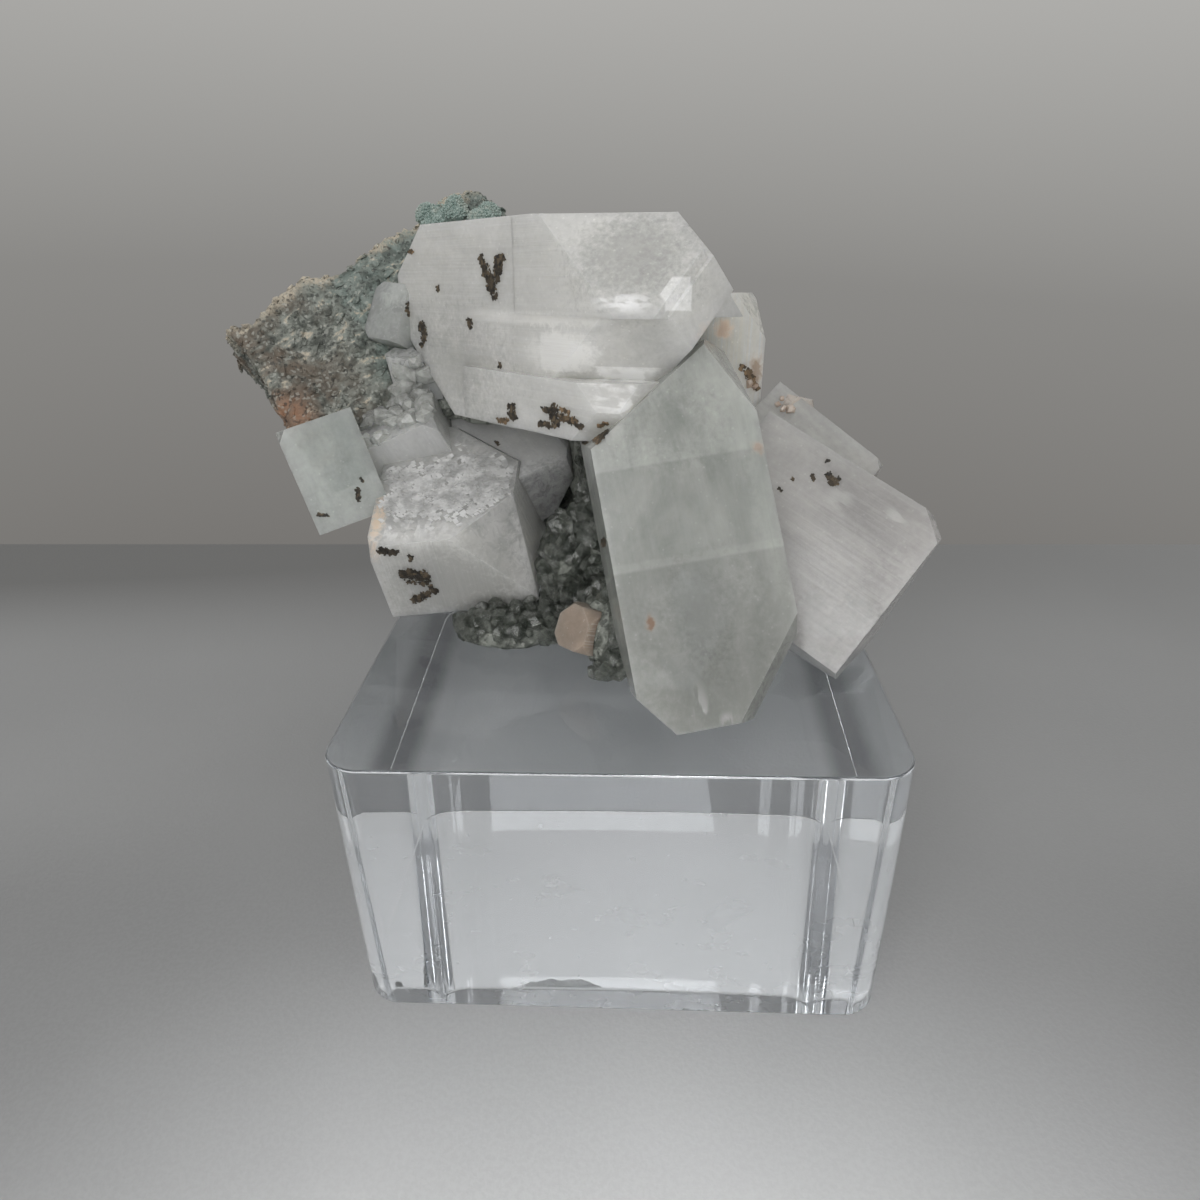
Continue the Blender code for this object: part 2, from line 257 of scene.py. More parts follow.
# Painted light and shade in the floor's colour: lighter under the block and from about the block's middle
# backwards, darker towards the back edge and more so on the left.
PAINTED_LIGHT_UNDER_BLOCK = (0.68, 0.68, 0.67)
FLOOR_PAINTED_LIGHT, FLOOR_PAINTED_SHADE = (0.41, 0.412, 0.414), (0.20, 0.20, 0.198)


def make_object(name, mesh, *materials):
    obj = bpy.data.objects.new(name, mesh)
    bpy.context.scene.collection.objects.link(obj)
    for material in materials:
        mesh.materials.append(material)
    return obj


def floor_finish():
    f = Finish("grey_table")
    p = f.place()
    grain = f.noise(p, 1.6, 3.0, 0.6)
    broad = f.noise(p, 0.02, 2.0, 0.5)
    tone = f.mix(broad.rise(0.3, 0.7), (0.262, 0.264, 0.266), (0.286, 0.288, 0.290))
    tone = f.mix(grain.rise(0.35, 0.65) * 0.25, tone, (0.330, 0.332, 0.336))
    x, y, z = f.split(p)
    # Painted light from about the block's middle backwards, and painted shade towards the back edge, more on
    # the left.
    tone = f.mix(y.rise(-30.0, 10.0) * 0.5, tone, FLOOR_PAINTED_LIGHT)
    tone = f.mix(y.rise(50.0, 118.0) * (0.8 - x * 0.003), tone, FLOOR_PAINTED_SHADE)
    # Painted light: a lighter patch under the block.
    colour = f.mix(x.size().most(y.size()).rise(33.5, 30.0), tone, PAINTED_LIGHT_UNDER_BLOCK)
    return f.surface(f.principled(
        Base_Color=colour, Roughness=grain * 0.12 + 0.42, Specular_IOR_Level=0.25,
        Normal=f.bump(grain, 0.06),
    ))


floor_mesh = bpy.data.meshes.new("floor")
floor_mesh.from_pydata(
    [Vector((x, y, -AIR_UNDER_BLOCK)) * MM for x, y in (
        (-FLOOR_REACH, -FLOOR_REACH), (FLOOR_REACH, -FLOOR_REACH),
        (FLOOR_REACH, FLOOR_BACK), (-FLOOR_REACH, FLOOR_BACK))],
    [], [(0, 1, 2, 3)],
)
floor = make_object("floor", floor_mesh, floor_finish())

# %% Wall light and lamps
world = bpy.data.worlds.new("grey_wall")
bpy.context.scene.world = world
world.use_nodes = True
w = Finish("grey_wall", world.node_tree)
sky = w.split(w.node("TexCoord", {}, {}, "Generated"))
height = sky[2] + sky[0] * 0.06
wall = w.ramp(
    height * 0.5 + 0.5,
    (0.28, (0.175, 0.168, 0.158)), (0.45, (0.255, 0.250, 0.240)), (0.575, (0.42, 0.415, 0.40)),
    (0.84, (0.42, 0.42, 0.415)), (0.89, (0.55, 0.55, 0.545)), (0.95, (0.80, 0.80, 0.80)),
    (1.0, (1.10, 1.10, 1.10)),
)
room = w.mix((-sky[1]).rise(-0.2, 0.7), wall, (0.42, 0.415, 0.40))
w.node_out("OutputWorld", {"Surface": w.node("Background", {}, {"Color": room, "Strength": 1.0})})

LAMPS = (
    # name, place, looks at, size, watts
    ("lamp_front", (-60, -260, 260), (0, 0, 50), (220, 160), 0.40),
    ("lamp_low", (45, -255, 35), (-12, 5, 55), (80, 60), 0.12),
    ("lamp_pool", (20, -230, 330), (4, -116, 0), (60, 60), 0.10),
)
for name, place, target, (wide, high), watts in LAMPS:
    light = bpy.data.lights.new(name, "AREA")
    light.shape, light.size, light.size_y, light.energy = "RECTANGLE", wide * MM, high * MM, watts
    lamp = bpy.data.objects.new(name, light)
    bpy.context.scene.collection.objects.link(lamp)
    lamp.location = Vector(place) * MM
    lamp.rotation_euler = (Vector(target) - Vector(place)).to_track_quat("-Z", "Y").to_euler()
    if name == "lamp_pool":
        light.spread = math.radians(30)
print("lamps:", len(LAMPS))

# %% [markdown]
# ## The display block
#
# A sawn and polished block of clear acrylic with rounded upright corners. Its look is all
# refraction: the back edges show as pale bands, and the underside works as a mirror. So the mesh
# needs true flat faces and finely rounded corners, and the material needs the right bending of
# light, hardly any colour, and the few scuffs that a used block has.

# %% Block sizes and mesh
BLOCK_SIDE, BLOCK_HEIGHT, BLOCK_CORNER = 70.0, 40.0, 5.0
BLOCK_EDGE, FOOT_EDGE = 0.4, 0.1
CORNER_STEPS, EDGE_STEPS = 24, 3


def bevelled_block():
    """The block, standing on the floor: corners first, then the top and bottom rims."""
    bm = bmesh.new()
    bmesh.ops.create_cube(bm, size=1.0)
    bmesh.ops.scale(bm, vec=Vector((BLOCK_SIDE, BLOCK_SIDE, BLOCK_HEIGHT)) * MM, verts=bm.verts)
    bmesh.ops.translate(bm, vec=(0, 0, BLOCK_HEIGHT / 2 * MM), verts=bm.verts)
    upright = [e for e in bm.edges if abs(e.verts[0].co.z - e.verts[1].co.z) > MM]
    bmesh.ops.bevel(bm, geom=upright, offset=BLOCK_CORNER * MM, segments=CORNER_STEPS,
                    profile=0.5, affect="EDGES")
    bm.normal_update()
    for side, size in ((1, BLOCK_EDGE), (-1, FOOT_EDGE)):
        rim = [e for e in bm.edges
               if {f.normal.z * side > 0.9 for f in e.link_faces} == {True, False}]
        bmesh.ops.bevel(bm, geom=rim, offset=size * MM, segments=EDGE_STEPS, profile=0.5,
                        affect="EDGES")
        bm.normal_update()
    mesh = bpy.data.meshes.new("display_block_clear")
    bm.to_mesh(mesh)
    bm.free()
    return mesh


def apply_modifiers(obj):
    graph = bpy.context.evaluated_depsgraph_get()
    mesh = bpy.data.meshes.new_from_object(obj.evaluated_get(graph))
    old = obj.data
    obj.modifiers.clear()
    obj.data = mesh
    bpy.data.meshes.remove(old)


def shade_flat_and_round(obj, degrees):
    """Narrow round edges shade smoothly, and the broad faces between them stay truly flat."""
    obj.data.shade_smooth()
    obj.data.set_sharp_from_angle(angle=math.radians(degrees))
    weighted = obj.modifiers.new("Flat faces", "WEIGHTED_NORMAL")
    weighted.mode, weighted.weight, weighted.keep_sharp = "FACE_AREA", 100, True
    bpy.context.view_layer.update()
    apply_modifiers(obj)


# %% Clear acrylic
def acrylic_finish():
    f = Finish("clear_acrylic")
    p = f.place()
    x, y, z = f.split(p)
    dust = f.cells(p, 0.35).rise(0.07, 0.02)
    haze = f.noise(p, 0.09, 4.0, 0.6).rise(0.45, 0.75)
    scratch = f.noise(f.stretch(p, (0.25, 0.9, 4.0)), 0.6, 2.0).rise(0.70, 0.78)
    glass = f.principled(
        Base_Color=(0.97, 0.985, 1.0), Roughness=haze * 0.02 + 0.005, IOR=1.49,
        Transmission_Weight=1.0, Normal=f.bump(f.noise(p, 0.03, 1.0), 0.012),
    )
    film = f.principled(Base_Color=(0.75, 0.77, 0.80), Roughness=0.5)
    cover = dust * 0.10 + haze * 0.025 + scratch * 0.02 + 0.025
    absorb = f.node("VolumeAbsorption", {}, {"Color": (0.80, 0.90, 1.0), "Density": 2.0})
    return f.surface(f.node("MixShader", {}, {0: cover, 1: glass, 2: film}), absorb)


block = make_object("display_block_clear", bevelled_block(), acrylic_finish())
shade_flat_and_round(block, 40)
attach(block, "root")
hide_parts("display_block")
print("block faces:", len(block.data.polygons))

# %% [markdown]
# ## How an apophyllite crystal is shaped
#
# The crystals are square prisms closed by a flat end and by four pyramid faces that stand over the
# prism's edges. Such a shape is what is left of a cube after cutting with one plane per face, so a
# crystal is a short list: where it is, where its long axis points, and how far out each face lies.

# %% The crystals' own numbers
PYRAMID_ANGLE = 60.4
BIG = 120.0
FAR = (40, 40, 40, 40)
CORNERS = ((1, 1), (1, -1), (-1, 1), (-1, -1))
TOP_TURN = dict(heading=-48, rise=4, spin=175)

TOP = dict(TOP_TURN, centre=(2, 6.4, 82.6), width=29, depth=26.5, end=17, root=39.8,
           slopes=(13.1, 15.5, 5.8, 11.6), root_slopes=(29.1, 32.5, 40, 40))
TOP_UPPER_STEP = dict(TOP_TURN, centre=(1.6, 6.1, 82.7), width=28.5, depth=26, end=16.7, root=6.8,
                      slopes=(40, 16.3, 40, 11.3), root_slopes=FAR, breaks=(((0, 1, 0), -1.6),))
TOP_LOWER_STEP = dict(TOP_TURN, centre=(-4.8, -0.4, 74.2), width=14, depth=7, end=13.6, root=18.9,
                      slopes=(9.7, 10.2, 15, 27.2), root_slopes=(16.5, 19.4, 40, 40))
FRONT = dict(centre=(9.1, -17.7, 58.1), heading=-70, rise=-57, spin=100, width=11, depth=20.2,
             end=19.1, root=27, slopes=(18, 13.5, 12.7, 9.2), root_slopes=(40, 40, 30, 30),
             breaks=(((-0.1, 0.78, 0.62), 16.2), ((0.3, 0.53, -0.79), 18.8),
                     ((0.52, -0.76, -0.4), 17)))
RIGHT_LOWER = dict(centre=(32, -9, 51), heading=-35, rise=-22, spin=138, width=13.5, depth=23.5,
                   end=5, root=23, slopes=(26.5, 12, 9, 5), root_slopes=FAR)
RIGHT_BACK = dict(centre=(27, 6, 60), heading=-32, rise=-30, spin=133, width=14, depth=13.5,
                  end=6.5, root=12, slopes=(22.5, 11, 16.5, 8), root_slopes=FAR)
SMALL_TOP = dict(centre=(14.1, 12.1, 78.8), heading=72, rise=84, spin=125, width=9, depth=9.5,
                 end=7.2, root=14.5, slopes=(6.3, 8.7, 5.8, 7.7), root_slopes=FAR)
SMALL_SIDE = dict(centre=(24, 9, 70), heading=36, rise=74, spin=163, width=4.5, depth=5, end=2.5,
                  root=6, slopes=(3.5, 3, 3, 3), root_slopes=(20, 20, 20, 20))
WEDGE = dict(centre=(-36.4, 25.6, 81.8), heading=-118, rise=30, spin=87, width=9, depth=7,
             end=1.5, root=12.3, slopes=(4.9, 4.9, 4.9, 4.9), root_slopes=FAR)
LEFT = dict(centre=(-24.1, 8.1, 59.1), heading=-99, rise=70, spin=-77, width=27, depth=24.3,
            end=2, root=12.5, slopes=(9.1, 15.4, 8.1, 13.4), root_slopes=FAR,
            breaks=(((0.07, 0.98, 0.19), 8.8), ((-0.41, 0.91, -0.02), 11.3),
                    ((0.1, 0.91, -0.4), 15.1)))
LEFT_UPPER = dict(centre=(-35.5, 17, 66), heading=-132, rise=62, spin=-38, width=12, depth=14,
                  end=2, root=14, slopes=(8, 8, 8, 8), root_slopes=FAR)
LEFT_SMALL = dict(centre=(-33.5, 23, 73), heading=-106, rise=76, spin=-54, width=7, depth=7,
                  end=4, root=10, slopes=(4.5, 4.5, 4.5, 4.5), root_slopes=FAR)
LEFT_OUTER = dict(centre=(-42.8, 8.7, 59.6), heading=153, rise=70, spin=50, width=13, depth=11,
                  end=10, root=5.5, slopes=(13.5, 11.5, 13, 12), root_slopes=FAR)
GREY = dict(centre=(-17.5, 14, 60.5), heading=-56, rise=-17, spin=158, width=14, depth=14,
            end=6.5, root=14.5, slopes=(8, 8, 9.5, 9.5), root_slopes=FAR,
            breaks=(((0.58, -0.81, -0.04), 2.7),))
PEACH = dict(centre=(-4.4, -13, 46.8), heading=-132, rise=27, spin=91, width=6, depth=5.5,
             end=2.8, root=4.6, slopes=(3.7, 3.7, 4.1, 4.1), root_slopes=(20, 20, 20, 20))


# %% Cutting a crystal out of a cube
def crystal_axes(spec):
    """Width, depth and long axis of a crystal."""
    turn, lift, roll = (math.radians(spec[k]) for k in ("heading", "rise", "spin"))
    axis = Vector((math.cos(lift) * math.cos(turn), math.cos(lift) * math.sin(turn), math.sin(lift)))
    level = Vector((0, 0, 1)).cross(axis).normalized()
    wide = level * math.cos(roll) + axis.cross(level) * math.sin(roll)
    return wide, axis.cross(wide), axis


def crystal_planes(spec):
    """Every face of a crystal as its direction and its distance from the centre."""
    wide, deep, axis = crystal_axes(spec)
    tilt = math.radians(PYRAMID_ANGLE)
    side, along = math.sin(tilt) / math.sqrt(2), math.cos(tilt)
    planes = [(wide, spec["width"] / 2), (-wide, spec["width"] / 2)]
    planes += [(deep, spec["depth"] / 2), (-deep, spec["depth"] / 2)]
    planes += [(axis, spec["end"]), (-axis, spec["root"])]
    for (w, d), reach, back in zip(CORNERS, spec["slopes"], spec["root_slopes"]):
        corner = (wide * w + deep * d) * side
        planes += [(corner + axis * along, reach), (corner - axis * along, back)]
    for (w, d, a), reach in spec.get("breaks", ()):
        planes.append(((wide * w + deep * d + axis * a).normalized(), reach))
    return planes


def slice_off(bm, point, normal):
    """Cuts away what lies beyond a plane, and closes the cut with one flat face."""
    geometry = bm.verts[:] + bm.edges[:] + bm.faces[:]
    cut = bmesh.ops.bisect_plane(
        bm, geom=geometry, dist=1e-8, plane_co=point, plane_no=normal, clear_outer=True
    )
    rim = [e for e in cut["geom_cut"] if isinstance(e, bmesh.types.BMEdge)]
    if len(rim) > 2:
        bmesh.ops.contextual_create(bm, geom=rim)


def crystal_mesh(name, spec, grow=0.0):
    bm = bmesh.new()
    bmesh.ops.create_cube(bm, size=BIG * MM)
    centre = Vector(spec["centre"])
    bmesh.ops.translate(bm, vec=centre * MM, verts=bm.verts)
    for normal, reach in crystal_planes(spec):
        slice_off(bm, (centre + normal * (reach + grow)) * MM, normal)
    bmesh.ops.remove_doubles(bm, verts=bm.verts, dist=2e-5)
    bmesh.ops.recalc_face_normals(bm, faces=bm.faces[:])
    mesh = bpy.data.meshes.new(name)
    bm.to_mesh(mesh)
    bm.free()
    return mesh


# %% Joining closed shapes in one
def boolean(obj, other, operation, materials="INDEX"):
    """Joins or cuts with another closed shape, which is used up."""
    modifier = obj.modifiers.new(operation.title(), "BOOLEAN")
    modifier.operation, modifier.solver, modifier.object = operation, "EXACT", other
    modifier.material_mode = materials
    bpy.context.view_layer.update()
    apply_modifiers(obj)
    bpy.data.objects.remove(other)


def grown_together(name, members, cut_by=()):
    """Crystals that overlap, joined in one closed skin. Each keeps its own material."""
    (first, material), *rest = members
    obj = make_object(name, crystal_mesh(name, first), material)
    for spec, material in rest:
        piece = make_object(name + "_piece", crystal_mesh(name, spec), material)
        boolean(obj, piece, "UNION", "TRANSFER")
    for spec in cut_by:
        cutter = make_object(name + "_cutter", crystal_mesh(name, spec, 0.3), material)
        boolean(obj, cutter, "DIFFERENCE", "TRANSFER")
    return obj


def soften_edges(obj, width, worn=None):
    """A narrow worn edge, which catches the light where two faces meet."""
    bevel = obj.modifiers.new("Edges", "BEVEL")
    bevel.width, bevel.segments, bevel.limit_method = width * MM, 2, "ANGLE"
    bevel.angle_limit, bevel.use_clamp_overlap = math.radians(12), True
    if worn:
        obj.data.materials.append(worn)
        bevel.material = len(obj.data.materials) - 1
    bpy.context.view_layer.update()
    apply_modifiers(obj)
    shade_flat_and_round(obj, 40)


# %% [markdown]
# ## The crystals' finish
#
# Apophyllite is as clear as glass where it grew slowly and milky where it took up bubbles and clay.
# So one finish mixes a refracting glass with a pale, waxy one. The mask between them has soft
# wisps, steps where growth paused, fine lines along the side faces and an etched mottle on the
# ends. Patches with a place in the crystal's own axes do the rest. Some make it more or less milky,
# and a few of those are painted light that lifts a face in shade. Some are painted highlights, white
# where cracks and small facets flash. Some tint it: rusty ones, and broad grey ones that darken a
# crystal towards its tip or over a side face.

# %% Patches inside a crystal
APOPHYLLITE_IOR = 1.535
EVEN_GLOW = (1.0, 1.0, 0.94)
LEAN = "lean"


def patch(f, where, ragged, centre, reach, crisp=False):
    """1 in the middle and 0 outside: an ellipsoid with a ragged edge, or a box with a crisp one."""
    inside = f.node("Mapping", {}, {
        "Vector": where, "Scale": [1 / r for r in reach],
        "Location": [-c / r for c, r in zip(centre, reach)],
    })
    if crisp:
        x, y, z = (side.size() for side in f.split(inside))
        return (x.most(y).most(z) + ragged).rise(1.08, 0.92)
    away = f.node("VectorMath", {"operation": "LENGTH"}, {0: inside}, 1)
    return (away + ragged).rise(1.5, 0.3)


# %% Apophyllite
def apophyllite_finish(name, spec, milk=0.6, wisps=0.15, tint=(0.80, 0.80, 0.775),
                       haze=(0.70, 0.72, 0.70), lines=0.5, rough=0.06, mottle=0.25, pauses=(),
                       veils_and_painted_light=(), flash_highlights=(), panes_and_highlights=(), tinted_patches=(), glow=0.005):
    """Veil entries, some of them painted light on faces in shade, and flash and pane entries, which are mostly
    painted highlights, are (centre, reach, strength); tinted entries, rusty or grey, put a colour before that.
    """
    f = Finish(name)
    wide, deep, axis = crystal_axes(spec)
    p = f.place(turn=Matrix((wide, deep, axis)).transposed(), centre=Vector(spec["centre"]))
    x, y, z = f.split(p)
    lean = f.node("Attribute", {"attribute_name": LEAN}, {}, "Fac")
    side, sloped = lean.rise(0.30, 0.10), lean.rise(0.25, 0.40)
    wisp = f.noise(f.stretch(p, (1.0, 1.0, 0.55)), 0.13, 5.0, 0.62, 0.5)
    fleck = f.noise(p, 1.5, 4.0, 0.65)
    speck = f.cells(p, 0.9).rise(0.16, 0.07)
    etched = f.noise(p, 0.55, 5.0, 0.72, 0.8)
    glint = f.noise(f.stretch(p, (0.8, 1.9, 0.6)), 0.5, 2.0, 0.45, 0.3)
    line = f.noise(f.stretch(p, (2.6, 2.6, 0.03)), 1.0, 5.0, 0.8)
    ledge = f.noise(f.stretch(p, (0.9, 0.9, 0.03)), 1.0, 2.0, 0.5)

    body = (wisp - 0.5) * (2.4 * wisps) + (fleck + etched - 1.0) * 0.14 + milk
    body = body - sloped * etched.rise(0.42, 0.62) * mottle + speck * 0.10
    for place, change in pauses:
        body = body + (z + wisp * 0.5 - 0.25 - place).rise(-0.22, 0.22) * change
    ragged = (etched + fleck - 1.0) * 1.5
    white = f.mix(wisp.rise(0.3, 0.7), haze, tint)
    white = f.mix(line.rise(0.47, 0.62) * side * (0.28 * lines), white, (0.93, 0.93, 0.91))
    # Each veil makes a crystal more or less milky; some are painted light that lifts a face lying in shade.
    for centre, reach, change in veils_and_painted_light:
        body = body + patch(f, p, ragged, centre, reach) * change
    # Painted highlights: these patches paint the crystal white where cracks and small facets catch the light.
    for centre, reach, strength in flash_highlights:
        mask = patch(f, p, ragged * 0.5, centre, reach) * glint.rise(0.44, 0.56) * strength
        white, body = f.mix(mask, white, (0.95, 0.95, 0.94)), body + mask * 0.3
    for centre, reach, strength in panes_and_highlights:
        mask = patch(f, p, ragged * 0.12, centre, reach, True) * (glint * 0.8 + 0.5) * strength
        white, body = f.mix(mask, white, (0.95, 0.95, 0.94)), body + mask * 0.3
    for centre, reach, colour, strength in tinted_patches:
        mask = patch(f, p, ragged, centre, reach) * strength
        white, body = f.mix(mask, white, colour), body + mask * 0.5

    relief = f.bump(line * 0.5 + ledge * 0.8, 0.09 * lines, strength=side)
    relief = f.bump(etched + fleck * 0.3, 0.10, strength=sloped * (1.6 * mottle), under=relief)
    glass = f.principled(
        Base_Color=(0.975, 0.985, 0.98), Roughness=fleck * 0.08 + rough - 0.03,
        IOR=APOPHYLLITE_IOR, Transmission_Weight=1.0, Normal=relief,
    )
    milky = f.principled(
        Base_Color=white, Roughness=fleck * 0.12 + rough + 0.05, IOR=APOPHYLLITE_IOR,
        Subsurface_Weight=0.85, Subsurface_Scale=glow, Subsurface_Radius=EVEN_GLOW,
        Normal=relief,
    )
    absorb = f.node("VolumeAbsorption", {}, {"Color": (0.80, 0.88, 0.85), "Density": 8.0})
    return f.surface(f.node("MixShader", {}, {0: body.most(0.03).least(0.97), 1: glass, 2: milky}),
                     absorb)


def worn_edge_finish():
    """The bruised, whitish rim of a crystal that has been handled."""
    f = Finish("worn_edge")
    p = f.place()
    chips = f.noise(p, 0.8, 4.0, 0.7)
    glass = f.principled(Base_Color=(0.98, 0.98, 0.97), Roughness=0.08, IOR=APOPHYLLITE_IOR,
                         Transmission_Weight=1.0, Normal=f.bump(chips, 0.05))
    bruise = f.principled(Base_Color=f.mix(chips.rise(0.4, 0.6), (0.78, 0.77, 0.72), (0.9, 0.9, 0.87)),
                          Roughness=chips * 0.3 + 0.15, IOR=APOPHYLLITE_IOR,
                          Subsurface_Weight=0.6, Subsurface_Scale=0.002,
                          Subsurface_Radius=EVEN_GLOW,
                          Normal=f.bump(chips, 0.05))
    absorb = f.node("VolumeAbsorption", {}, {"Color": (0.80, 0.88, 0.85), "Density": 8.0})
    return f.surface(f.node("MixShader", {}, {0: chips.rise(0.3, 0.6) * 0.6 + 0.25, 1: glass, 2: bruise}),
                     absorb)


WORN_EDGE = worn_edge_finish()


# %% Mark what kind of face each one is
def note_faces(obj, specs):
    """Writes on each face how it leans to its crystal's long axis: 0 side, 0.5 slope, 1 end."""
    axes = [crystal_axes(spec)[2] for spec in specs] + [None] * len(obj.data.materials)
    lean = obj.data.attributes.new(LEAN, "FLOAT", "FACE")
    for face, value in zip(obj.data.polygons, lean.data):
        axis = axes[face.material_index]
        value.value = abs(face.normal.dot(axis)) if axis else 0.0


# %% Main crystals
top_finish = apophyllite_finish(
    "top_crystal", TOP, milk=0.70, wisps=0.10, lines=1.7, mottle=0.07,
    tint=(0.88, 0.87, 0.845), haze=(0.81, 0.805, 0.785),
    veils_and_painted_light=(((14.5, -1.2, -2.0), (2.0, 0.8, 15.0), 0.25), ((9.5, -8.0, 10.5), (8.0, 5.5, 6.5), -0.26),
           ((14.4, 2.8, 2.0), (2.5, 2.8, 6.5), 0.26),
           ((10.5, 1.2, 12.0), (3.8, 2.4, 5.0), -0.04), ((14.5, 6.0, -22.0), (3.0, 7.0, 14.0), -0.14)),
    flash_highlights=(((13.0, -3.4, 12.6), (3.0, 1.1, 3.6), 1.0), ((13.5, 7.8, 12.4), (3.0, 1.2, 3.0), 0.8),
             ((11.0, 5.4, 10.5), (5.0, 1.1, 4.4), 0.9)),
    panes_and_highlights=(((8.3, -4.3, 16.6), (1.9, 1.8, 0.9), 0.8), ((14.6, 2.6, 3.2), (2.4, 2.3, 4.8), 0.22),
           ((11.5, 4.9, 11.0), (4.6, 0.8, 4.6), 0.7)),
    tinted_patches=(((3.0, 0.4, 17.0), (2.2, 1.4, 1.0), (0.74, 0.60, 0.48), 0.5),),
)
front_finish = apophyllite_finish(
    "front_crystal", FRONT, milk=0.56, wisps=0.20, lines=0.25, mottle=0.20,
    tint=(0.66, 0.67, 0.64), haze=(0.51, 0.535, 0.505),
    pauses=((-12.0, -0.14), (-1.0, 0.07), (0.0, -0.17), (10.4, -0.04)),
    # The first veil is painted light on the narrow side face that lies in shade.
    veils_and_painted_light=(((0.0, 10.4, 0.0), (9.0, 0.9, 34.0), 0.08), ((5.5, -9.4, -4.0), (3.0, 1.8, 17.0), 0.16),
           ((5.5, 1.0, 6.0), (2.0, 3.0, 6.0), -0.14), ((5.5, 0.0, -16.0), (3.0, 6.0, 4.0), -0.10),
           ((5.5, 0.0, 16.0), (6.0, 11.0, 6.0), -0.08)),
    flash_highlights=(((5.5, 3.0, 16.6), (1.5, 0.9, 2.6), 0.8), ((5.5, 0.4, 18.4), (1.5, 0.9, 0.8), 0.6)),
    # The first patch is broad and grey and darkens the crystal's lower half towards its tip; the other two are
    # brown stains.
    tinted_patches=(((5.5, 0.0, 11.0), (9.0, 18.0, 14.0), (0.26, 0.265, 0.25), 0.80),
            ((5.5, 6.9, 6.2), (0.9, 0.6, 0.9), (0.24, 0.15, 0.10), 0.9),
            ((5.5, -9.4, -12.0), (0.9, 0.8, 0.8), (0.36, 0.25, 0.19), 0.7)),
)
right_finish = apophyllite_finish(
    "right_crystal", RIGHT_LOWER, milk=0.60, wisps=0.18, lines=0.35,
    tint=(0.63, 0.61, 0.60), haze=(0.545, 0.53, 0.52),
    veils_and_painted_light=(((6.8, 2.0, 2.5), (2.0, 6.0, 2.5), -0.10), ((6.8, 8.0, 2.0), (3.0, 5.0, 8.0), -0.12)),
    flash_highlights=(((6.8, -7.0, -8.0), (2.0, 1.6, 1.6), 0.25), ((6.8, -8.8, -1.0), (1.0, 0.8, 1.4), 0.3)),
)
right_back_finish = apophyllite_finish("right_back_crystal", RIGHT_BACK, milk=0.52, wisps=0.18,
                                       lines=0.3, tint=(0.74, 0.725, 0.70), haze=(0.65, 0.64, 0.62))
small_top_finish = apophyllite_finish(
    "small_top_crystal", SMALL_TOP, milk=0.72, wisps=0.12, lines=3.0, tint=(0.97, 0.93, 0.86),
    haze=(0.93, 0.89, 0.81), tinted_patches=(((4.5, 3.8, -3.0), (1.2, 1.1, 2.0), (0.34, 0.23, 0.15), 0.8),
                                     ((4.5, -1.6, 2.5), (1.5, 1.2, 1.2), (0.80, 0.62, 0.48), 0.8)))
small_side_finish = apophyllite_finish("small_side_crystal", SMALL_SIDE, milk=0.6, lines=0.5,
                                       tint=(0.80, 0.70, 0.62), haze=(0.72, 0.63, 0.56))
wedge_finish = apophyllite_finish(
    "wedge_crystal", WEDGE, milk=0.42, wisps=0.08, lines=0.3, mottle=0.08,
    tint=(0.84, 0.86, 0.83), haze=(0.78, 0.81, 0.78), veils_and_painted_light=(((3.5, -1.0, 1.5), (2.6, 2.6, 2.0), 0.2),))

MAIN_CRYSTALS = (
    (TOP, top_finish), (TOP_UPPER_STEP, top_finish), (TOP_LOWER_STEP, top_finish),
    (FRONT, front_finish), (RIGHT_LOWER, right_finish), (RIGHT_BACK, right_back_finish),
    (SMALL_TOP, small_top_finish), (SMALL_SIDE, small_side_finish), (WEDGE, wedge_finish),
)


def finish_specs(obj, members):
    """The crystal that each material slot of a piece belongs to."""
    first = {}
    for spec, material in members:
        first.setdefault(material.name, spec)
    return [first[m.name] for m in obj.data.materials if m.name in first]


main = grown_together("main_crystals_milky", MAIN_CRYSTALS)
soften_edges(main, 0.16, WORN_EDGE)
note_faces(main, finish_specs(main, MAIN_CRYSTALS))
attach(main, "root")
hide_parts("main_crystals")
print("main crystals:", len(main.data.polygons), "faces,", len(main.data.materials), "finishes")

# %% Left crystals
MAIN_SPECS = tuple(spec for spec, _ in MAIN_CRYSTALS)
left_finish = apophyllite_finish(
    "left_crystal", LEFT, milk=0.66, wisps=0.14, lines=3.0, mottle=0.16, glow=0.007,
    tint=(0.86, 0.85, 0.83), haze=(0.75, 0.75, 0.73),
    # This veil is painted light that lifts the face lying in shade between the crystals.
    veils_and_painted_light=(((5.0, 10.5, -5.0), (12.0, 2.6, 10.0), 0.35),),
    flash_highlights=(((4.0, -2.0, 2.0), (5.0, 7.0, 1.2), 0.5), ((11.0, -6.0, 2.0), (2.0, 5.0, 1.0), 0.5)),
    tinted_patches=(((8.0, -11.4, 1.0), (5.5, 1.2, 2.6), (0.88, 0.62, 0.42), 0.8),
            # This broad grey patch darkens most of one side face.
            ((13.5, -2.0, -7.0), (3.0, 14.0, 10.0), (0.36, 0.36, 0.345), 0.7)))
left_upper_finish = apophyllite_finish("left_upper_crystal", LEFT_UPPER, milk=0.66, wisps=0.2,
                                       mottle=0.2, lines=0.8, tint=(0.93, 0.93, 0.91),
                                       haze=(0.86, 0.865, 0.845), glow=0.012)
left_small_finish = apophyllite_finish("left_small_crystal", LEFT_SMALL, milk=0.58, wisps=0.15,
                                       lines=0.3, tint=(0.88, 0.88, 0.86))
left_outer_finish = apophyllite_finish(
    "left_outer_crystal", LEFT_OUTER, milk=0.44, wisps=0.12, lines=0.25,
    tint=(0.73, 0.765, 0.74), haze=(0.65, 0.695, 0.67))
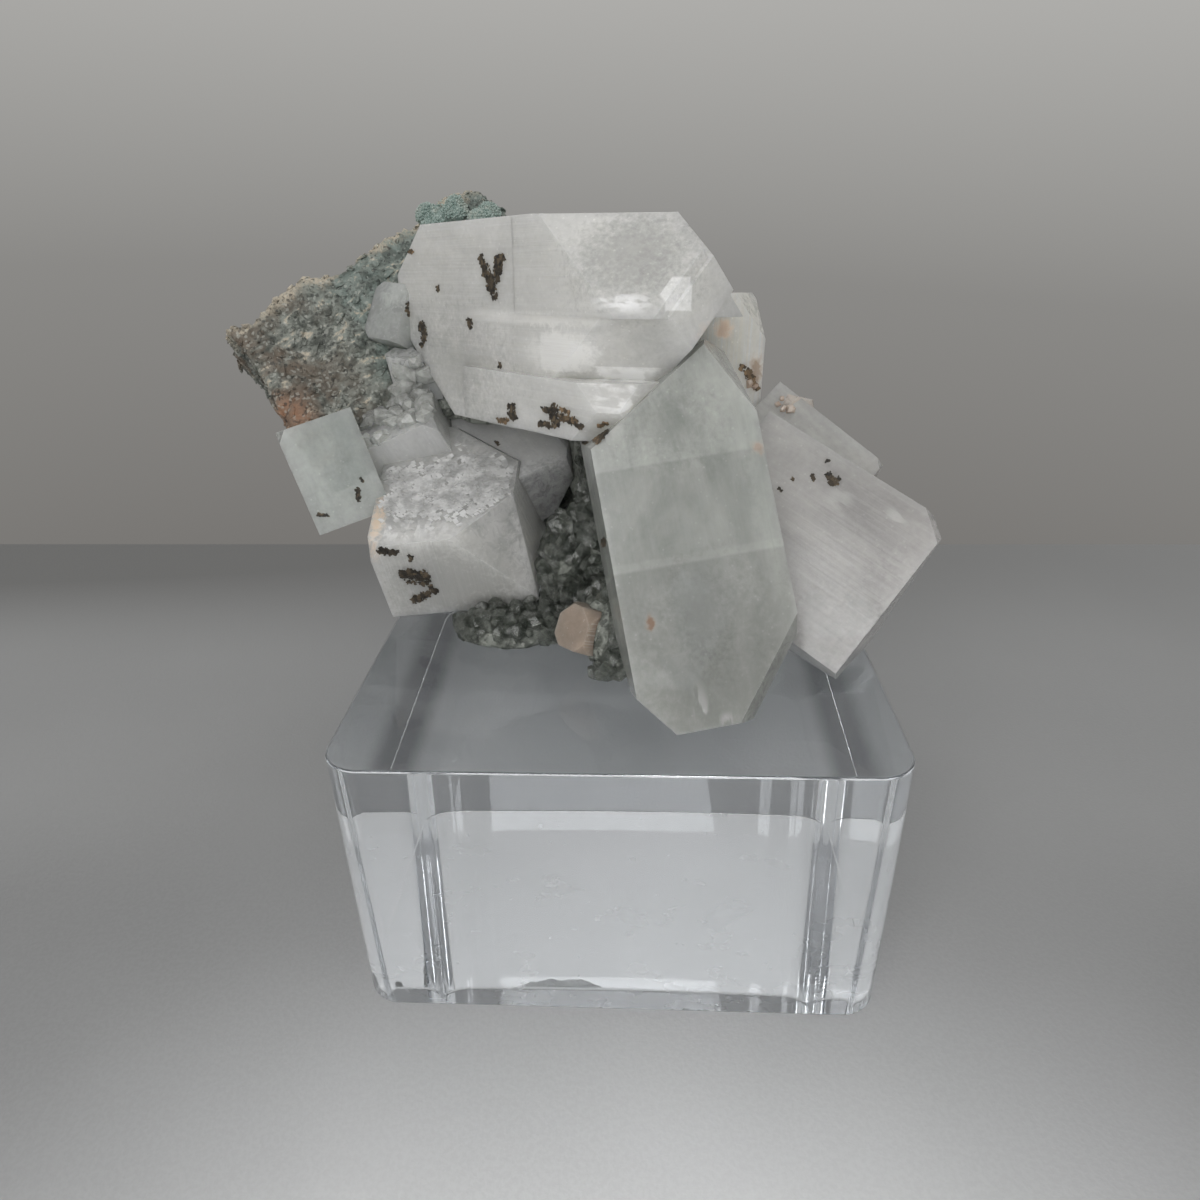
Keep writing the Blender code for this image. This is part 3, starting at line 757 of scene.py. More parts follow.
LEFT_CRYSTALS = ((LEFT, left_finish), (LEFT_UPPER, left_upper_finish),
                 (LEFT_SMALL, left_small_finish), (LEFT_OUTER, left_outer_finish))
LEFT_SPECS = tuple(spec for spec, _ in LEFT_CRYSTALS)
left = grown_together("left_crystals_pearly", LEFT_CRYSTALS, MAIN_SPECS)
soften_edges(left, 0.16, WORN_EDGE)
note_faces(left, finish_specs(left, LEFT_CRYSTALS))
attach(left, "root")
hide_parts("left_crystals")
print("left crystals:", len(left.data.polygons), "faces")

# %% Grey and peach crystals
grey_finish = apophyllite_finish(
    "grey_crystal", GREY, milk=0.80, tint=(0.96, 0.96, 0.93), haze=(0.90, 0.90, 0.87), lines=0.8,
    glow=0.012,
    veils_and_painted_light=(((-3.0, 0.0, 6.5), (6.0, 6.0, 2.0), -0.3),))
grey = grown_together("grey_crystal_dull", ((GREY, grey_finish),), MAIN_SPECS + LEFT_SPECS)
soften_edges(grey, 0.12)
note_faces(grey, (GREY,))
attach(grey, "root")
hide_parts("grey_crystal")

peach_finish = apophyllite_finish(
    "peach_crystal", PEACH, milk=0.86, wisps=0.1, tint=(0.43, 0.335, 0.27), haze=(0.345, 0.29, 0.24),
    rough=0.25, mottle=0.1, lines=1.0)
peach = grown_together("peach_crystal_dusty", ((PEACH, peach_finish),), (GREY, FRONT))
soften_edges(peach, 0.12)
note_faces(peach, (PEACH,))
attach(peach, "root")
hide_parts("peach_crystal")
print("grey and peach:", len(grey.data.polygons), len(peach.data.polygons), "faces")

# %% [markdown]
# ## The basalt
#
# The crystals grew on basalt, of which one broken slab shows at the upper left and more behind.
# Broken rock has no face that a plane could give. The rough form is a chipped box and some rounded
# masses, which one voxel skin joins, and several sizes of noise then push in and out.

# %% Rock sizes
SLAB_TIP = Vector((-62.4, 21.3, 81.0))
SLAB_ALONG = Vector((0.79, 0.48, 0.385))
SLAB_DOWN = Vector((0.56, -0.36, -0.75))
SLAB_SIZE = (49.0, 30.0, 20.0)
ROCK_MASSES = (
    ((-14, 35, 64), (22, 15, 19)), ((4, 17, 61), (13, 13, 15)), ((1, 3, 55), (7, 11, 11)),
    ((0, -10, 45), (5.5, 8, 6)), ((-14.5, -1.2, 41), (9.5, 7.4, 3.5)), ((-4, 4, 48), (7.5, 8, 9.5)),
    ((-8, 26, 47), (18, 13, 8)),
)
ROUGH_VOXEL, FINE_VOXEL = 0.7, 0.55
REST_HEIGHT = BLOCK_HEIGHT + 0.3
ROCK_GRAIN, ROCK_ROUGHNESS = 0.11, 1.3


# %% Rough form
def slab_mesh():
    """The broken slab at the upper left, a box chipped at its corners."""
    along = SLAB_ALONG.normalized()
    down = (SLAB_DOWN - along * SLAB_DOWN.dot(along)).normalized()
    inward = along.cross(down)
    length, drop, thick = SLAB_SIZE
    turn = Matrix((along, down, inward)).transposed().to_4x4()
    centre = SLAB_TIP + along * length / 2 + down * drop / 2 + inward * thick / 2
    bm = bmesh.new()
    bmesh.ops.create_cube(bm, size=1.0)
    bmesh.ops.scale(bm, vec=Vector(SLAB_SIZE) * MM, verts=bm.verts)
    bmesh.ops.transform(bm, matrix=Matrix.Translation(centre * MM) @ turn, verts=bm.verts)
    chips = (
        (along - down - inward * 0.4, SLAB_TIP + along * (length - 3)),
        (inward - along * 0.6, SLAB_TIP + inward * (thick - 6)),
        (inward + down * 0.8, SLAB_TIP + inward * (thick - 4) + down * drop * 0.6 + along * 10),
        (-inward - along * 0.25, SLAB_TIP + along * 2),
    )
    for normal, point in chips:
        slice_off(bm, point * MM, normal.normalized())
    bmesh.ops.recalc_face_normals(bm, faces=bm.faces[:])
    mesh = bpy.data.meshes.new("rock")
    bm.to_mesh(mesh)
    bm.free()
    return mesh


def rock_form():
    rock = make_object("basalt_rock", slab_mesh())
    for centre, halves in ROCK_MASSES:
        bm = bmesh.new()
        bmesh.ops.create_icosphere(bm, subdivisions=3, radius=MM)
        bmesh.ops.scale(bm, vec=Vector(halves), verts=bm.verts)
        bmesh.ops.translate(bm, vec=Vector(centre) * MM, verts=bm.verts)
        mesh = bpy.data.meshes.new("mass")
        bm.to_mesh(mesh)
        bm.free()
        boolean(rock, make_object("rock_mass", mesh), "UNION")
    return rock


def one_skin(obj, voxel):
    """One closed skin round everything, with no part of it passing through another."""
    remesh = obj.modifiers.new("Skin", "REMESH")
    remesh.mode, remesh.voxel_size = "VOXEL", voxel * MM
    bpy.context.view_layer.update()
    apply_modifiers(obj)


# %% Roughen the rock
def roughen(rock):
    """Pushes each point along its normal: the broad swell of the frame, then finer breaks."""
    count = len(rock.data.vertices)
    places, normals = np.empty(count * 3), np.empty(count * 3)
    rock.data.vertices.foreach_get("co", places)
    rock.data.vertices.foreach_get("normal", normals)
    places, normals = places.reshape(-1, 3), normals.reshape(-1, 3)
    push = np.empty(count)
    for i, at in enumerate(places / MM):
        place = Vector(at)
        swell = noise.fractal(place * ROCK_GRAIN, 1.0, 2.0, 4)
        chip = noise.voronoi(place * ROCK_GRAIN * 1.3)[0][0]
        shards = noise.voronoi(place * 0.42)[0]
        grit = noise.fractal(place * 0.9, 0.8, 2.0, 3)
        push[i] = (swell + chip - 0.5) * ROCK_ROUGHNESS + (shards[1] - shards[0] - 0.35) * 0.8
        push[i] += grit * 0.28
    places += normals * (push * MM)[:, None]
    rock.data.vertices.foreach_set("co", places.ravel())
    rock.data.update()


rock = rock_form()
one_skin(rock, ROUGH_VOXEL)
roughen(rock)
one_skin(rock, FINE_VOXEL)
print("rock points:", len(rock.data.vertices))

# %% Cut the rock clear of the crystals and the block
def ground_mesh():
    """What lies lower than the specimen's foot."""
    bm = bmesh.new()
    bmesh.ops.create_cube(bm, size=BIG * MM)
    bmesh.ops.translate(bm, vec=(0, 0, (REST_HEIGHT - BIG / 2) * MM), verts=bm.verts)
    mesh = bpy.data.meshes.new("ground")
    bm.to_mesh(mesh)
    bm.free()
    return mesh


sockets = make_object("sockets", ground_mesh())
for spec in (*MAIN_SPECS, *LEFT_SPECS, GREY, PEACH):
    boolean(sockets, make_object("socket", crystal_mesh("socket", spec, 0.05)), "UNION")
boolean(rock, sockets, "DIFFERENCE")
print("rock cut clear:", len(rock.data.vertices), "points")


# %% Basalt finish
def slab_turn():
    """Along the slab's top edge, down its broken face, and into it."""
    along = SLAB_ALONG.normalized()
    down = (SLAB_DOWN - along * SLAB_DOWN.dot(along)).normalized()
    return Matrix((along, down, along.cross(down))).transposed()


def basalt_finish():
    """Dark groundmass full of pale grains; the slab also has a cream rim, a green zone and rust."""
    f = Finish("basalt")
    p = f.place()
    along_slab = f.place(turn=slab_turn(), centre=SLAB_TIP)
    along, down, inward = f.split(along_slab)
    broad = f.noise(p, 0.11, 4.0, 0.6, 0.6)
    middle = f.noise(p, 0.5, 5.0, 0.7, 0.4)
    fine = f.noise(p, 2.4, 4.0, 0.7)
    grain = f.split(f.cells(p, 0.95, take=1))[0]
    tiny = f.split(f.cells(p, 2.4, take=1))[1]
    slab = down.rise(29.0, 23.0)
    wander = (broad - 0.5) * 14.0 + (middle - 0.5) * 8.0
    streak = f.noise(f.stretch(along_slab, (0.5, 1.0, 1.0)), 0.45, 4.0, 0.6, 1.2)
    colour = f.mix((middle * 0.5 + streak * 0.5).rise(0.42, 0.58),
                   (0.072, 0.080, 0.068), (0.290, 0.306, 0.275))
    colour = f.mix(grain.rise(0.5, 0.9) * 0.30, colour, (0.34, 0.36, 0.32))
    green = (along + wander).rise(12.0, 21.0) * slab * (middle.rise(0.35, 0.65) * 0.5 + 0.2)
    colour = f.mix(green, colour, (0.235, 0.300, 0.275))
    brown = ((along + wander).rise(20.0, 6.0) * slab) * broad.rise(0.40, 0.60)
    colour = f.mix(brown * 0.75, colour, (0.170, 0.125, 0.090))
    rim = (down + wander * 0.5).rise(2.6, 0.2) * slab * (inward + wander * 0.3).rise(7.0, 1.5)
    cream = rim.most((streak * 0.6 + middle * 0.4).rise(0.56, 0.61) * slab * 0.9)
    colour = f.mix(cream * fine.rise(0.30, 0.55), colour, (0.60, 0.53, 0.42))
    rust = (along + wander * 0.3).rise(6.0, 2.0) * (down + wander * 0.3).rise(12.5, 16.0) * slab
    colour = f.mix(rust * (middle.rise(0.35, 0.6) * 0.6 + 0.3), colour, (0.36, 0.19, 0.11))
    colour = f.mix(tiny.rise(0.88, 0.95) * 0.35, colour, (0.60, 0.61, 0.56))
    colour = f.mix(tiny.rise(0.14, 0.06) * 0.6, colour, (0.030, 0.032, 0.030))
    relief = f.bump(grain * 0.6 + tiny * 0.4, 0.35, 0.9)
    relief = f.bump(fine, 0.20, under=relief)
    return f.surface(f.principled(
        Base_Color=colour, Roughness=fine * 0.25 + grain * 0.2 + 0.30, Normal=relief))


rock.data.materials.clear()
rock.data.materials.append(basalt_finish())
rock.data.polygons.foreach_set("material_index", [0] * len(rock.data.polygons))
rock.data.shade_smooth()
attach(rock, "root")
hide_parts("basalt_matrix")
print("rock faces:", len(rock.data.polygons))

# %% [markdown]
# ## Growing small things on a surface
#
# The crust in the gap, the tuft behind the top crystal, the grit on the slab and the dark specks on
# the crystals are all the same thing seen by Blender: one small shape, repeated over a surface. So
# one Geometry Nodes tree does them all. It scatters points where an attribute allows, turns each
# copy to stand on its face, and gives it a size and a tilt of its own.

# %% The scatter tree
WHERE = "where"
SCATTER_INPUTS = (
    ("Surface", "Geometry"), ("Shape", "Object"), ("Finish", "Material"), ("Spacing", "Float"),
    ("Crowding", "Float"), ("Smallest", "Vector"), ("Largest", "Vector"), ("Tilt", "Float"), ("Spin", "Float"),
    ("Along", "Vector"), ("Seed", "Int"),
)


def scatter_tree():
    tree = bpy.data.node_groups.new("scatter", "GeometryNodeTree")
    for name, kind in SCATTER_INPUTS:
        tree.interface.new_socket(name, in_out="INPUT", socket_type="NodeSocket" + kind)
    tree.interface.new_socket("Grown", in_out="OUTPUT", socket_type="NodeSocketGeometry")

    def node(kind, settings=None, sockets=None):
        made = tree.nodes.new(kind)
        for key, value in (settings or {}).items():
            setattr(made, key, value)
        for key, value in (sockets or {}).items():
            if hasattr(value, "is_output"):
                tree.links.new(value, made.inputs[key])
            else:
                made.inputs[key].default_value = value
        return made.outputs

    given = node("NodeGroupInput")
    allowed = node("GeometryNodeInputNamedAttribute", {"data_type": "FLOAT"}, {"Name": WHERE})
    points = node("GeometryNodeDistributePointsOnFaces", {"distribute_method": "POISSON"}, {
        "Mesh": given["Surface"], "Distance Min": given["Spacing"], "Density Max": given["Crowding"],
        "Density Factor": allowed["Attribute"], "Seed": given["Seed"]})
    towards = node("FunctionNodeAlignRotationToVector", {"axis": "X", "pivot_axis": "Z"},
                   {"Rotation": points["Rotation"], "Vector": given["Along"]})
    tilt_back = node("ShaderNodeMath", {"operation": "MULTIPLY"}, {0: given["Tilt"], 1: -1.0})
    spin_back = node("ShaderNodeMath", {"operation": "MULTIPLY"}, {0: given["Spin"], 1: -1.0})
    lean_low = node("ShaderNodeCombineXYZ", {}, {0: tilt_back[0], 1: tilt_back[0], 2: spin_back[0]})
    lean_high = node("ShaderNodeCombineXYZ", {},
                     {0: given["Tilt"], 1: given["Tilt"], 2: given["Spin"]})
    lean = node("FunctionNodeRandomValue", {"data_type": "FLOAT_VECTOR"},
                {0: lean_low[0], 1: lean_high[0], "Seed": given["Seed"]})
    turned = node("FunctionNodeRotateRotation", {"rotation_space": "LOCAL"},
                  {"Rotation": towards["Rotation"],
                   "Rotate By": node("FunctionNodeEulerToRotation", {}, {0: lean[0]})[0]})
    size = node("FunctionNodeRandomValue", {"data_type": "FLOAT_VECTOR"},
                {0: given["Smallest"], 1: given["Largest"], "Seed": 7})
    shape = node("GeometryNodeObjectInfo", {}, {"Object": given["Shape"]})
    copies = node("GeometryNodeInstanceOnPoints", {}, {
        "Points": points["Points"], "Instance": shape["Geometry"],
        "Rotation": turned["Rotation"], "Scale": size[0]})
    real = node("GeometryNodeRealizeInstances", {}, {0: copies[0]})
    done = node("GeometryNodeSetMaterial", {}, {"Geometry": real[0], "Material": given["Finish"]})
    node("NodeGroupOutput", {}, {0: done[0]})
    return tree


SCATTER = scatter_tree()
SOCKET_OF = {item.name: item.identifier for item in SCATTER.interface.items_tree
             if item.in_out == "INPUT"}


def grown_on(name, surface, slot, **inputs):
    """A piece of many small copies on a surface. The surface keeps its own mesh."""
    inputs["Crowding"] = 2.5 / inputs["Spacing"] ** 2
    obj = make_object(name, surface.data.copy())
    grower = obj.modifiers.new("Scatter", "NODES")
    grower.node_group = SCATTER
    for key, value in inputs.items():
        grower[SOCKET_OF[key.replace("_", " ")]] = value
    bpy.context.view_layer.update()
    apply_modifiers(obj)
    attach(obj, "root")
    print(name + ":", len(obj.data.polygons), "faces")
    return obj


def allow(obj, rule):
    """Writes at each point of a mesh how freely things may grow there, from 0 to 1."""
    where = obj.data.attributes.get(WHERE) or obj.data.attributes.new(WHERE, "FLOAT", "POINT")
    where.data.foreach_set("value", [
        float(rule(v.co / MM, n.vector)) for v, n in zip(obj.data.vertices, obj.data.vertex_normals)
    ])


# %% Small shapes to repeat
def grain_mesh(name, seed, rough=0.35):
    """A broken grain, two units across."""
    bm = bmesh.new()
    bmesh.ops.create_icosphere(bm, subdivisions=1, radius=1.0)
    for vert in bm.verts:
        vert.co *= 1.0 + rough * noise.noise(vert.co * 2.1 + Vector((seed, 0, 0)))
    mesh = bpy.data.meshes.new(name)
    bm.to_mesh(mesh)
    bm.free()
    return mesh


SMALL_CRYSTAL = dict(centre=(0, 0, 0), heading=0, rise=90, spin=20, width=1.0, depth=1.0, end=1.1,
                     root=0.4, slopes=(0.78, 0.74, 0.82, 0.76), root_slopes=FAR)
FLAKE = dict(centre=(0, 0, 0), heading=0, rise=90, spin=0, width=1.0, depth=0.28, end=0.06,
             root=0.06, slopes=FAR, root_slopes=FAR)


def shape_to_repeat(mesh, scale=1.0):
    shape = make_object(mesh.name, mesh)
    mesh.transform(Matrix.Scale(scale, 4))
    return shape


small_crystal = shape_to_repeat(crystal_mesh("small_crystal", SMALL_CRYSTAL))
flake = shape_to_repeat(crystal_mesh("flake", FLAKE))
grain = shape_to_repeat(grain_mesh("grain", 3.0), MM)

# %% [markdown]
# ## The crust of small crystals
#
# Between the big crystals the rock is covered with small grey-green ones, and their crust goes on
# under the left crystal to the foot. It grows on the rock only where the rock faces the front and
# lies low, so the rule reads each point's place and direction.

# %% Druse
def druse_finish(name, dark, pale, clear, depth=60.0):
    f = Finish(name)
    p = f.place()
    each = f.noise(p, 0.6, 3.0, 0.6).rise(0.32, 0.68)
    fine = f.noise(p, 2.2, 4.0, 0.7)
    white = f.mix(each ** 2.0, dark, pale)
    relief = f.bump(fine, 0.08)
    glass = f.principled(Base_Color=(0.95, 0.97, 0.94), Roughness=fine * 0.12, Normal=relief,
                         IOR=APOPHYLLITE_IOR, Transmission_Weight=1.0)
    milky = f.principled(Base_Color=white, Roughness=fine * 0.2 + 0.06, Normal=relief,
                         IOR=APOPHYLLITE_IOR, Subsurface_Weight=0.3, Subsurface_Scale=0.001,
                         Subsurface_Radius=EVEN_GLOW)
    absorb = f.node("VolumeAbsorption", {}, {"Color": (0.80, 0.86, 0.80), "Density": depth})
    return f.surface(f.node("MixShader", {}, {0: (each * 0.5 + 0.5) * (-clear) + 1.0, 1: glass, 2: milky}),
                     absorb)


PEACH_PLACE = Vector(PEACH["centre"])


def druse_rule(at, normal):
    low_front = at.x > -26 and at.x < 8 and at.y < 8 and 41.7 < at.z < 72 and normal.y < 0.3
    return low_front and normal.z > -0.5 and (at - PEACH_PLACE).length > 5.0


allow(rock, druse_rule)
druse = grown_on(
    "druse_crystals", rock, "apophyllite_grey", Shape=small_crystal,
    Finish=druse_finish("druse", (0.075, 0.085, 0.072), (0.40, 0.42, 0.38), 0.8),
    Spacing=1.3 * MM, Smallest=(0.9, 0.9, 0.7), Largest=(2.8, 2.6, 2.0),
    Tilt=0.7, Spin=1.5, Along=(1.0, 0.0, 0.0), Seed=11)

# %% Chips and grit on the slab
def slab_rule(at, normal):
    return 1.0 if at.x < -30 and at.z > 55 or at.z > 84 else 0.0


allow(rock, slab_rule)
SLAB_CRUSTS = (
    # name, spacing, smallest, largest, tilt, seed
    ("basalt_chips", 2.0, (0.55, 0.45, 0.20), (1.7, 1.2, 0.55), 0.45, 15),
    ("basalt_grit", 1.3, (0.18, 0.16, 0.12), (0.50, 0.42, 0.28), 0.8, 5),
)
for name, spacing, smallest, largest, tilt, seed in SLAB_CRUSTS:
    grown_on(name, rock, "basalt", Shape=grain, Finish=rock.data.materials[0],
             Spacing=spacing * MM, Smallest=smallest, Largest=largest, Tilt=tilt, Spin=3.0,
             Along=(1.0, 0.0, 0.0), Seed=seed)

# %% [markdown]
# ## The sea-green tuft
#
# Above the top crystal's left end a low, granular green crust looks over. A few lumps under one
# skin give its form, and grains grown on them give its surface.

# %% Tuft
TUFT_CENTRE, TUFT_SPREAD = Vector((-27.5, 41, 94.5)), Vector((6, 3, 1.6))
TUFT_LUMPS, TUFT_LUMP, TUFT_CROWN, TUFT_FALL = 16, (1.2, 2.0), 1.0, 0.3


def tuft_form():
    draw = random.Random(4)
    bm = bmesh.new()
    for _ in range(TUFT_LUMPS):
        step = Vector([draw.uniform(-1, 1) for _ in range(3)])
        at = TUFT_CENTRE + step * TUFT_SPREAD
        at.z += TUFT_CROWN - abs(at.x - TUFT_CENTRE.x) * TUFT_FALL
        bmesh.ops.create_icosphere(bm, subdivisions=2, radius=draw.uniform(*TUFT_LUMP) * MM,
                                   matrix=Matrix.Translation(at * MM))
    mesh = bpy.data.meshes.new("tuft")
    bm.to_mesh(mesh)
    bm.free()
    return mesh


def tuft_finish():
    f = Finish("sea_green_tuft")
    p = f.place()
    each = f.split(f.cells(p, 2.8, take=1))[0]
    broad = f.noise(p, 0.35, 3.0, 0.6)
    colour = f.mix(each, (0.25, 0.345, 0.315), (0.44, 0.53, 0.49))
    colour = f.mix(broad.rise(0.52, 0.66) * 0.7, colour, (0.58, 0.62, 0.56))
    return f.surface(f.principled(Base_Color=colour, Roughness=each * 0.3 + 0.35,
                                  Subsurface_Weight=0.3, Subsurface_Scale=0.001,
                                  Subsurface_Radius=EVEN_GLOW,
                                  Normal=f.bump(f.noise(p, 3.0, 3.0, 0.7), 0.12)))


tuft = make_object("tuft_form", tuft_form())
one_skin(tuft, 0.4)
tuft.data.materials.clear()
tuft.data.materials.append(tuft_finish())
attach(tuft, "root")
allow(tuft, lambda at, normal: normal.z > -0.4)
tuft_grains = grown_on(
    "tuft_grains", tuft, "basalt", Shape=grain, Finish=tuft.data.materials[0], Spacing=0.30 * MM,
    Smallest=(0.14, 0.14, 0.20), Largest=(0.32, 0.32, 0.55), Tilt=0.6, Spin=3.0,
    Along=(1.0, 0.0, 0.0), Seed=8)

# %% [markdown]
# ## Specks and flakes on the crystals
#
# Dark bits of mineral sit on the crystals' faces. Each is a short stroke between two points of the
# picture. A ray from the camera finds the face behind it, the stroke is laid flat on that face, and
# crumbs grow on the stroke. So they lie on the crystal from wherever one looks.

# %% Find the face behind a point of the picture
def face_tree(*objects):
    """A search tree over the faces of some pieces."""
    points, faces = [], []
    for obj in objects:
        first = len(points)
        points += [v.co.copy() for v in obj.data.vertices]
        faces += [[first + i for i in p.vertices] for p in obj.data.polygons]
    return BVHTree.FromPolygons(points, faces)


CRYSTAL_FACES = face_tree(main, left, grey, peach)


def seen_at(x, y):
    """The point and the face's direction that the camera sees at a point of the picture."""
    place, normal, _, _ = CRYSTAL_FACES.ray_cast(CAMERA_PLACE * MM, ray_through(x, y))
    return place, normal


STROKE_STEP, FACE_PLAY = 1.0, 0.2


def stroke_freedom(x, y, stroke):
    """How freely crumbs lie at a point of the picture: 1 inside a stroke, ragged towards 0."""
    x0, y0, x1, y1, half = stroke
    point, start, end = Vector((x, y)), Vector((x0, y0)), Vector((x1, y1))
    run = end - start
    share = min(max((point - start).dot(run) / max(run.length_squared, 1e-6), 0.0), 1.0)
    away = (point - start - run * share).length / half
    torn = noise.noise(Vector((x * 0.28, y * 0.28, half))) + noise.noise(Vector((x, y, 0)) * 0.7) * 0.5
    return min(max((0.98 - away + torn * 0.6) * 3.0, 0.0), 1.0)


def laid_at(x, y, middle, normal):
    """Where the camera sees a point of the picture on the plane of a face."""
    ray = ray_through(x, y)
    return CAMERA_PLACE * MM + ray * ((middle - CAMERA_PLACE * MM).dot(normal) / ray.dot(normal))


def on_face(x, y, middle, normal, rim):
    """Whether the face through middle is what the camera sees there, and rim pixels around."""
    for dx, dy in ((0, 0), (rim, 0), (-rim, 0), (0, rim), (0, -rim)):
        place, _ = seen_at(x + dx, y + dy)
        if place is None or (place - laid_at(x + dx, y + dy, middle, normal)).length > FACE_PLAY * MM:
            return False
    return True


def stroke_mesh(name, strokes, rim=1.0):
    """Finely divided flat patches on the faces behind strokes (x, y, x, y, half width)."""
    points, faces, freedom = [], [], []
    for stroke in strokes:
        x0, y0, x1, y1, half = stroke
        middle, normal = seen_at((x0 + x1) / 2, (y0 + y1) / 2)
        if middle is None:
            continue
        low = Vector((min(x0, x1), min(y0, y1))) - Vector((half, half)) * 1.6
        high = Vector((max(x0, x1), max(y0, y1))) + Vector((half, half)) * 1.6
        wide, tall = (max(2, round(span / STROKE_STEP)) for span in high - low)
        first = len(points)
        for row in range(tall + 1):
            for column in range(wide + 1):
                x = low.x + (high.x - low.x) * column / wide
                y = low.y + (high.y - low.y) * row / tall
                points.append(laid_at(x, y, middle, normal))
                free = stroke_freedom(x, y, stroke)
                freedom.append(free if free and on_face(x, y, middle, normal, rim) else 0.0)
        for row in range(tall):
            for column in range(wide):
                corner = first + row * (wide + 1) + column
                face = (corner, corner + wide + 1, corner + wide + 2, corner + 1)
                if max(freedom[i] for i in face) > 0:
                    faces.append(face)
    mesh = bpy.data.meshes.new(name)
    mesh.from_pydata(points, [], faces)
    where = mesh.attributes.new(WHERE, "FLOAT", "POINT")
    where.data.foreach_set("value", freedom)
    return mesh


# %% Dark specks
DARK_STROKES = (
    (481, 258, 486, 272, 3), (486, 268, 492, 290, 4.5), (500, 259, 495, 280, 4.5), (492, 284, 494, 297, 4),
    (408, 305, 409, 314, 3), (422, 324, 424, 338, 3.5), (423, 338, 422, 345, 2.5), (469, 321, 470, 327, 2.5),
    (438, 287, 438, 290, 1.8), (500, 363, 500, 366, 1.8), (511, 406, 513, 416, 4.5),
    (545, 410, 556, 410, 3), (552, 408, 556, 424, 4.5), (556, 414, 584, 428, 3), (540, 424, 552, 425, 3),
    (578, 441, 586, 441, 3.5), (604, 430, 601, 441, 4.5),
    (829, 475, 833, 483, 4), (833, 482, 838, 479, 2.5), (826, 462, 828, 461, 1.5), (812, 476, 814, 479, 1.8),
    (792, 479, 793, 480, 1.5), (779, 489, 781, 491, 1.5), (366, 540, 367, 546, 3), (379, 550, 396, 553, 3.5),
    (409, 557, 411, 559, 2.5), (403, 574, 425, 576, 5), (410, 580, 427, 582, 4), (428, 585, 436, 592, 2.5),
    (415, 599, 428, 594, 3.5), (358, 490, 358, 500, 2.5), (318, 515, 327, 515, 1.5), (361, 478, 363, 482, 1.5),
    (497, 442, 498, 444, 1.5), (604, 541, 604, 543, 2.5),
)
BROWN_STROKES = (
    (500, 421, 507, 420, 3), (562, 418, 574, 420, 3), (596, 440, 600, 444, 2.5), (438, 402, 443, 405, 2),
    (470, 420, 480, 421, 1.5), (408, 249, 412, 252, 2), (562, 409, 568, 412, 2.5), (600, 426, 606, 424, 2),
    (747, 372, 756, 388, 4), (742, 366, 747, 372, 3),
)


def speck_finish(name, dark, light):
    f = Finish(name)
    p = f.place()
    each = f.split(f.cells(p, 1.9, take=1))[0]
    return f.surface(f.principled(Base_Color=f.mix(each ** 2.0, dark, light),
                                  Roughness=each * 0.3 + 0.5,
                                  Normal=f.bump(f.noise(p, 3.5, 3.0, 0.7), 0.1)))


def speck_piece(name, strokes, finish, seed):
    surface = make_object(name + "_strokes", stroke_mesh(name, strokes))
    piece = grown_on(name, surface, "basalt", Shape=grain, Finish=finish, Spacing=0.13 * MM,
                     Smallest=(0.12, 0.12, 0.05), Largest=(0.27, 0.27, 0.13), Tilt=0.3, Spin=3.0,
                     Along=(1.0, 0.0, 0.0), Seed=seed)
    bpy.data.objects.remove(surface)
    return piece


dark_specks = speck_piece("dark_specks", DARK_STROKES,
                          speck_finish("dark_speck", (0.020, 0.017, 0.013), (0.15, 0.115, 0.075)), 3)
brown_specks = speck_piece("brown_specks", BROWN_STROKES,
                           speck_finish("brown_speck", (0.07, 0.05, 0.03), (0.32, 0.22, 0.13)), 6)

# %% Pearly flakes on the left crystal's end
PEARLY_STROKES = (
    (400, 492, 490, 485, 34), (450, 455, 498, 478, 12),
)


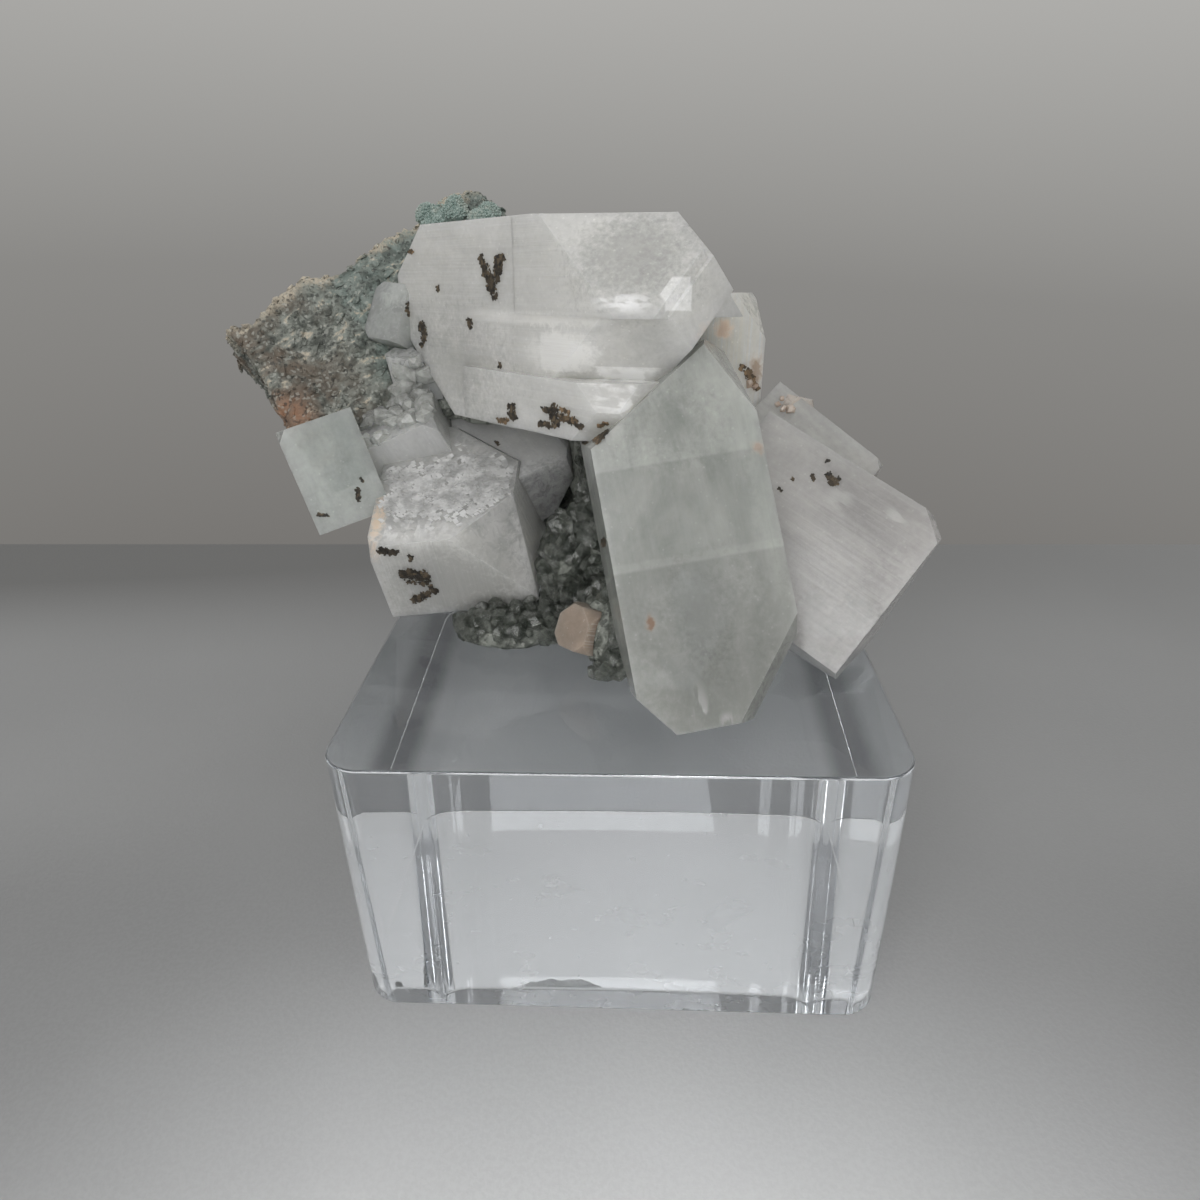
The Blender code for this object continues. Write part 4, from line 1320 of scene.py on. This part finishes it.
def pearl_finish():
    f = Finish("pearly_flake")
    p = f.place()
    each = f.noise(p, 0.35, 3.0, 0.6).rise(0.36, 0.64)
    fine = f.noise(f.stretch(p, (3.0, 0.6, 3.0)), 1.0, 4.0, 0.7)
    glass = f.principled(Base_Color=(0.98, 0.98, 0.98), Roughness=fine * 0.15, IOR=APOPHYLLITE_IOR,
                         Transmission_Weight=1.0, Normal=f.bump(fine, 0.05))
    pearl = f.principled(Base_Color=f.mix(each, (0.83, 0.83, 0.82), (0.93, 0.93, 0.92)),
                         Roughness=each * 0.25 + 0.08, IOR=APOPHYLLITE_IOR, Normal=f.bump(fine, 0.05),
                         Subsurface_Weight=0.4, Subsurface_Scale=0.001,
                         Subsurface_Radius=EVEN_GLOW)
    return f.surface(f.node("MixShader", {}, {0: each * 0.35 + 0.55, 1: glass, 2: pearl}))


pearly_surface = make_object("pearly_strokes", stroke_mesh("pearly", PEARLY_STROKES, 5.0))
pearly_flakes = grown_on(
    "pearly_flakes", pearly_surface, "apophyllite", Shape=flake, Finish=pearl_finish(),
    Spacing=0.42 * MM, Smallest=(0.8, 0.5, 0.5), Largest=(3.4, 1.2, 1.7), Tilt=0.14, Spin=0.3,
    Along=tuple(RIGHT * 0.65 + UP * 0.75), Seed=9)

# %% Pale and peach chips between the crystals
PALE_STROKES = (
    (380, 392, 428, 350, 20), (360, 416, 438, 404, 18), (366, 446, 400, 436, 10), (432, 604, 448, 612, 5),
)
PEACH_STROKES = ((780, 404, 798, 416, 5), (752, 384, 760, 396, 4), (548, 560, 556, 572, 4))


def chip_piece(name, strokes, slot, finish, spacing, smallest, largest, seed):
    surface = make_object(name + "_strokes", stroke_mesh(name, strokes, 3.0))
    piece = grown_on(name, surface, slot, Shape=small_crystal, Finish=finish, Spacing=spacing * MM,
                     Smallest=smallest, Largest=largest, Tilt=0.45, Spin=1.5,
                     Along=(1.0, 0.0, 0.0), Seed=seed)
    bpy.data.objects.remove(surface)
    return piece


pale_chips = chip_piece("pale_chips", PALE_STROKES, "apophyllite",
                        druse_finish("pale_chip", (0.62, 0.635, 0.61), (0.88, 0.88, 0.85), 0.80, 8.0),
                        1.7, (1.4, 1.2, 0.7), (4.6, 3.0, 1.5), 21)
peach_chips = chip_piece("peach_chips", PEACH_STROKES, "stilbite",
                         druse_finish("peach_chip", (0.50, 0.38, 0.30), (0.74, 0.64, 0.56), 0.3),
                         0.9, (0.5, 0.5, 0.3), (1.2, 1.2, 0.8), 23)
for helper in (small_crystal, flake, grain, pearly_surface):
    bpy.data.objects.remove(helper)
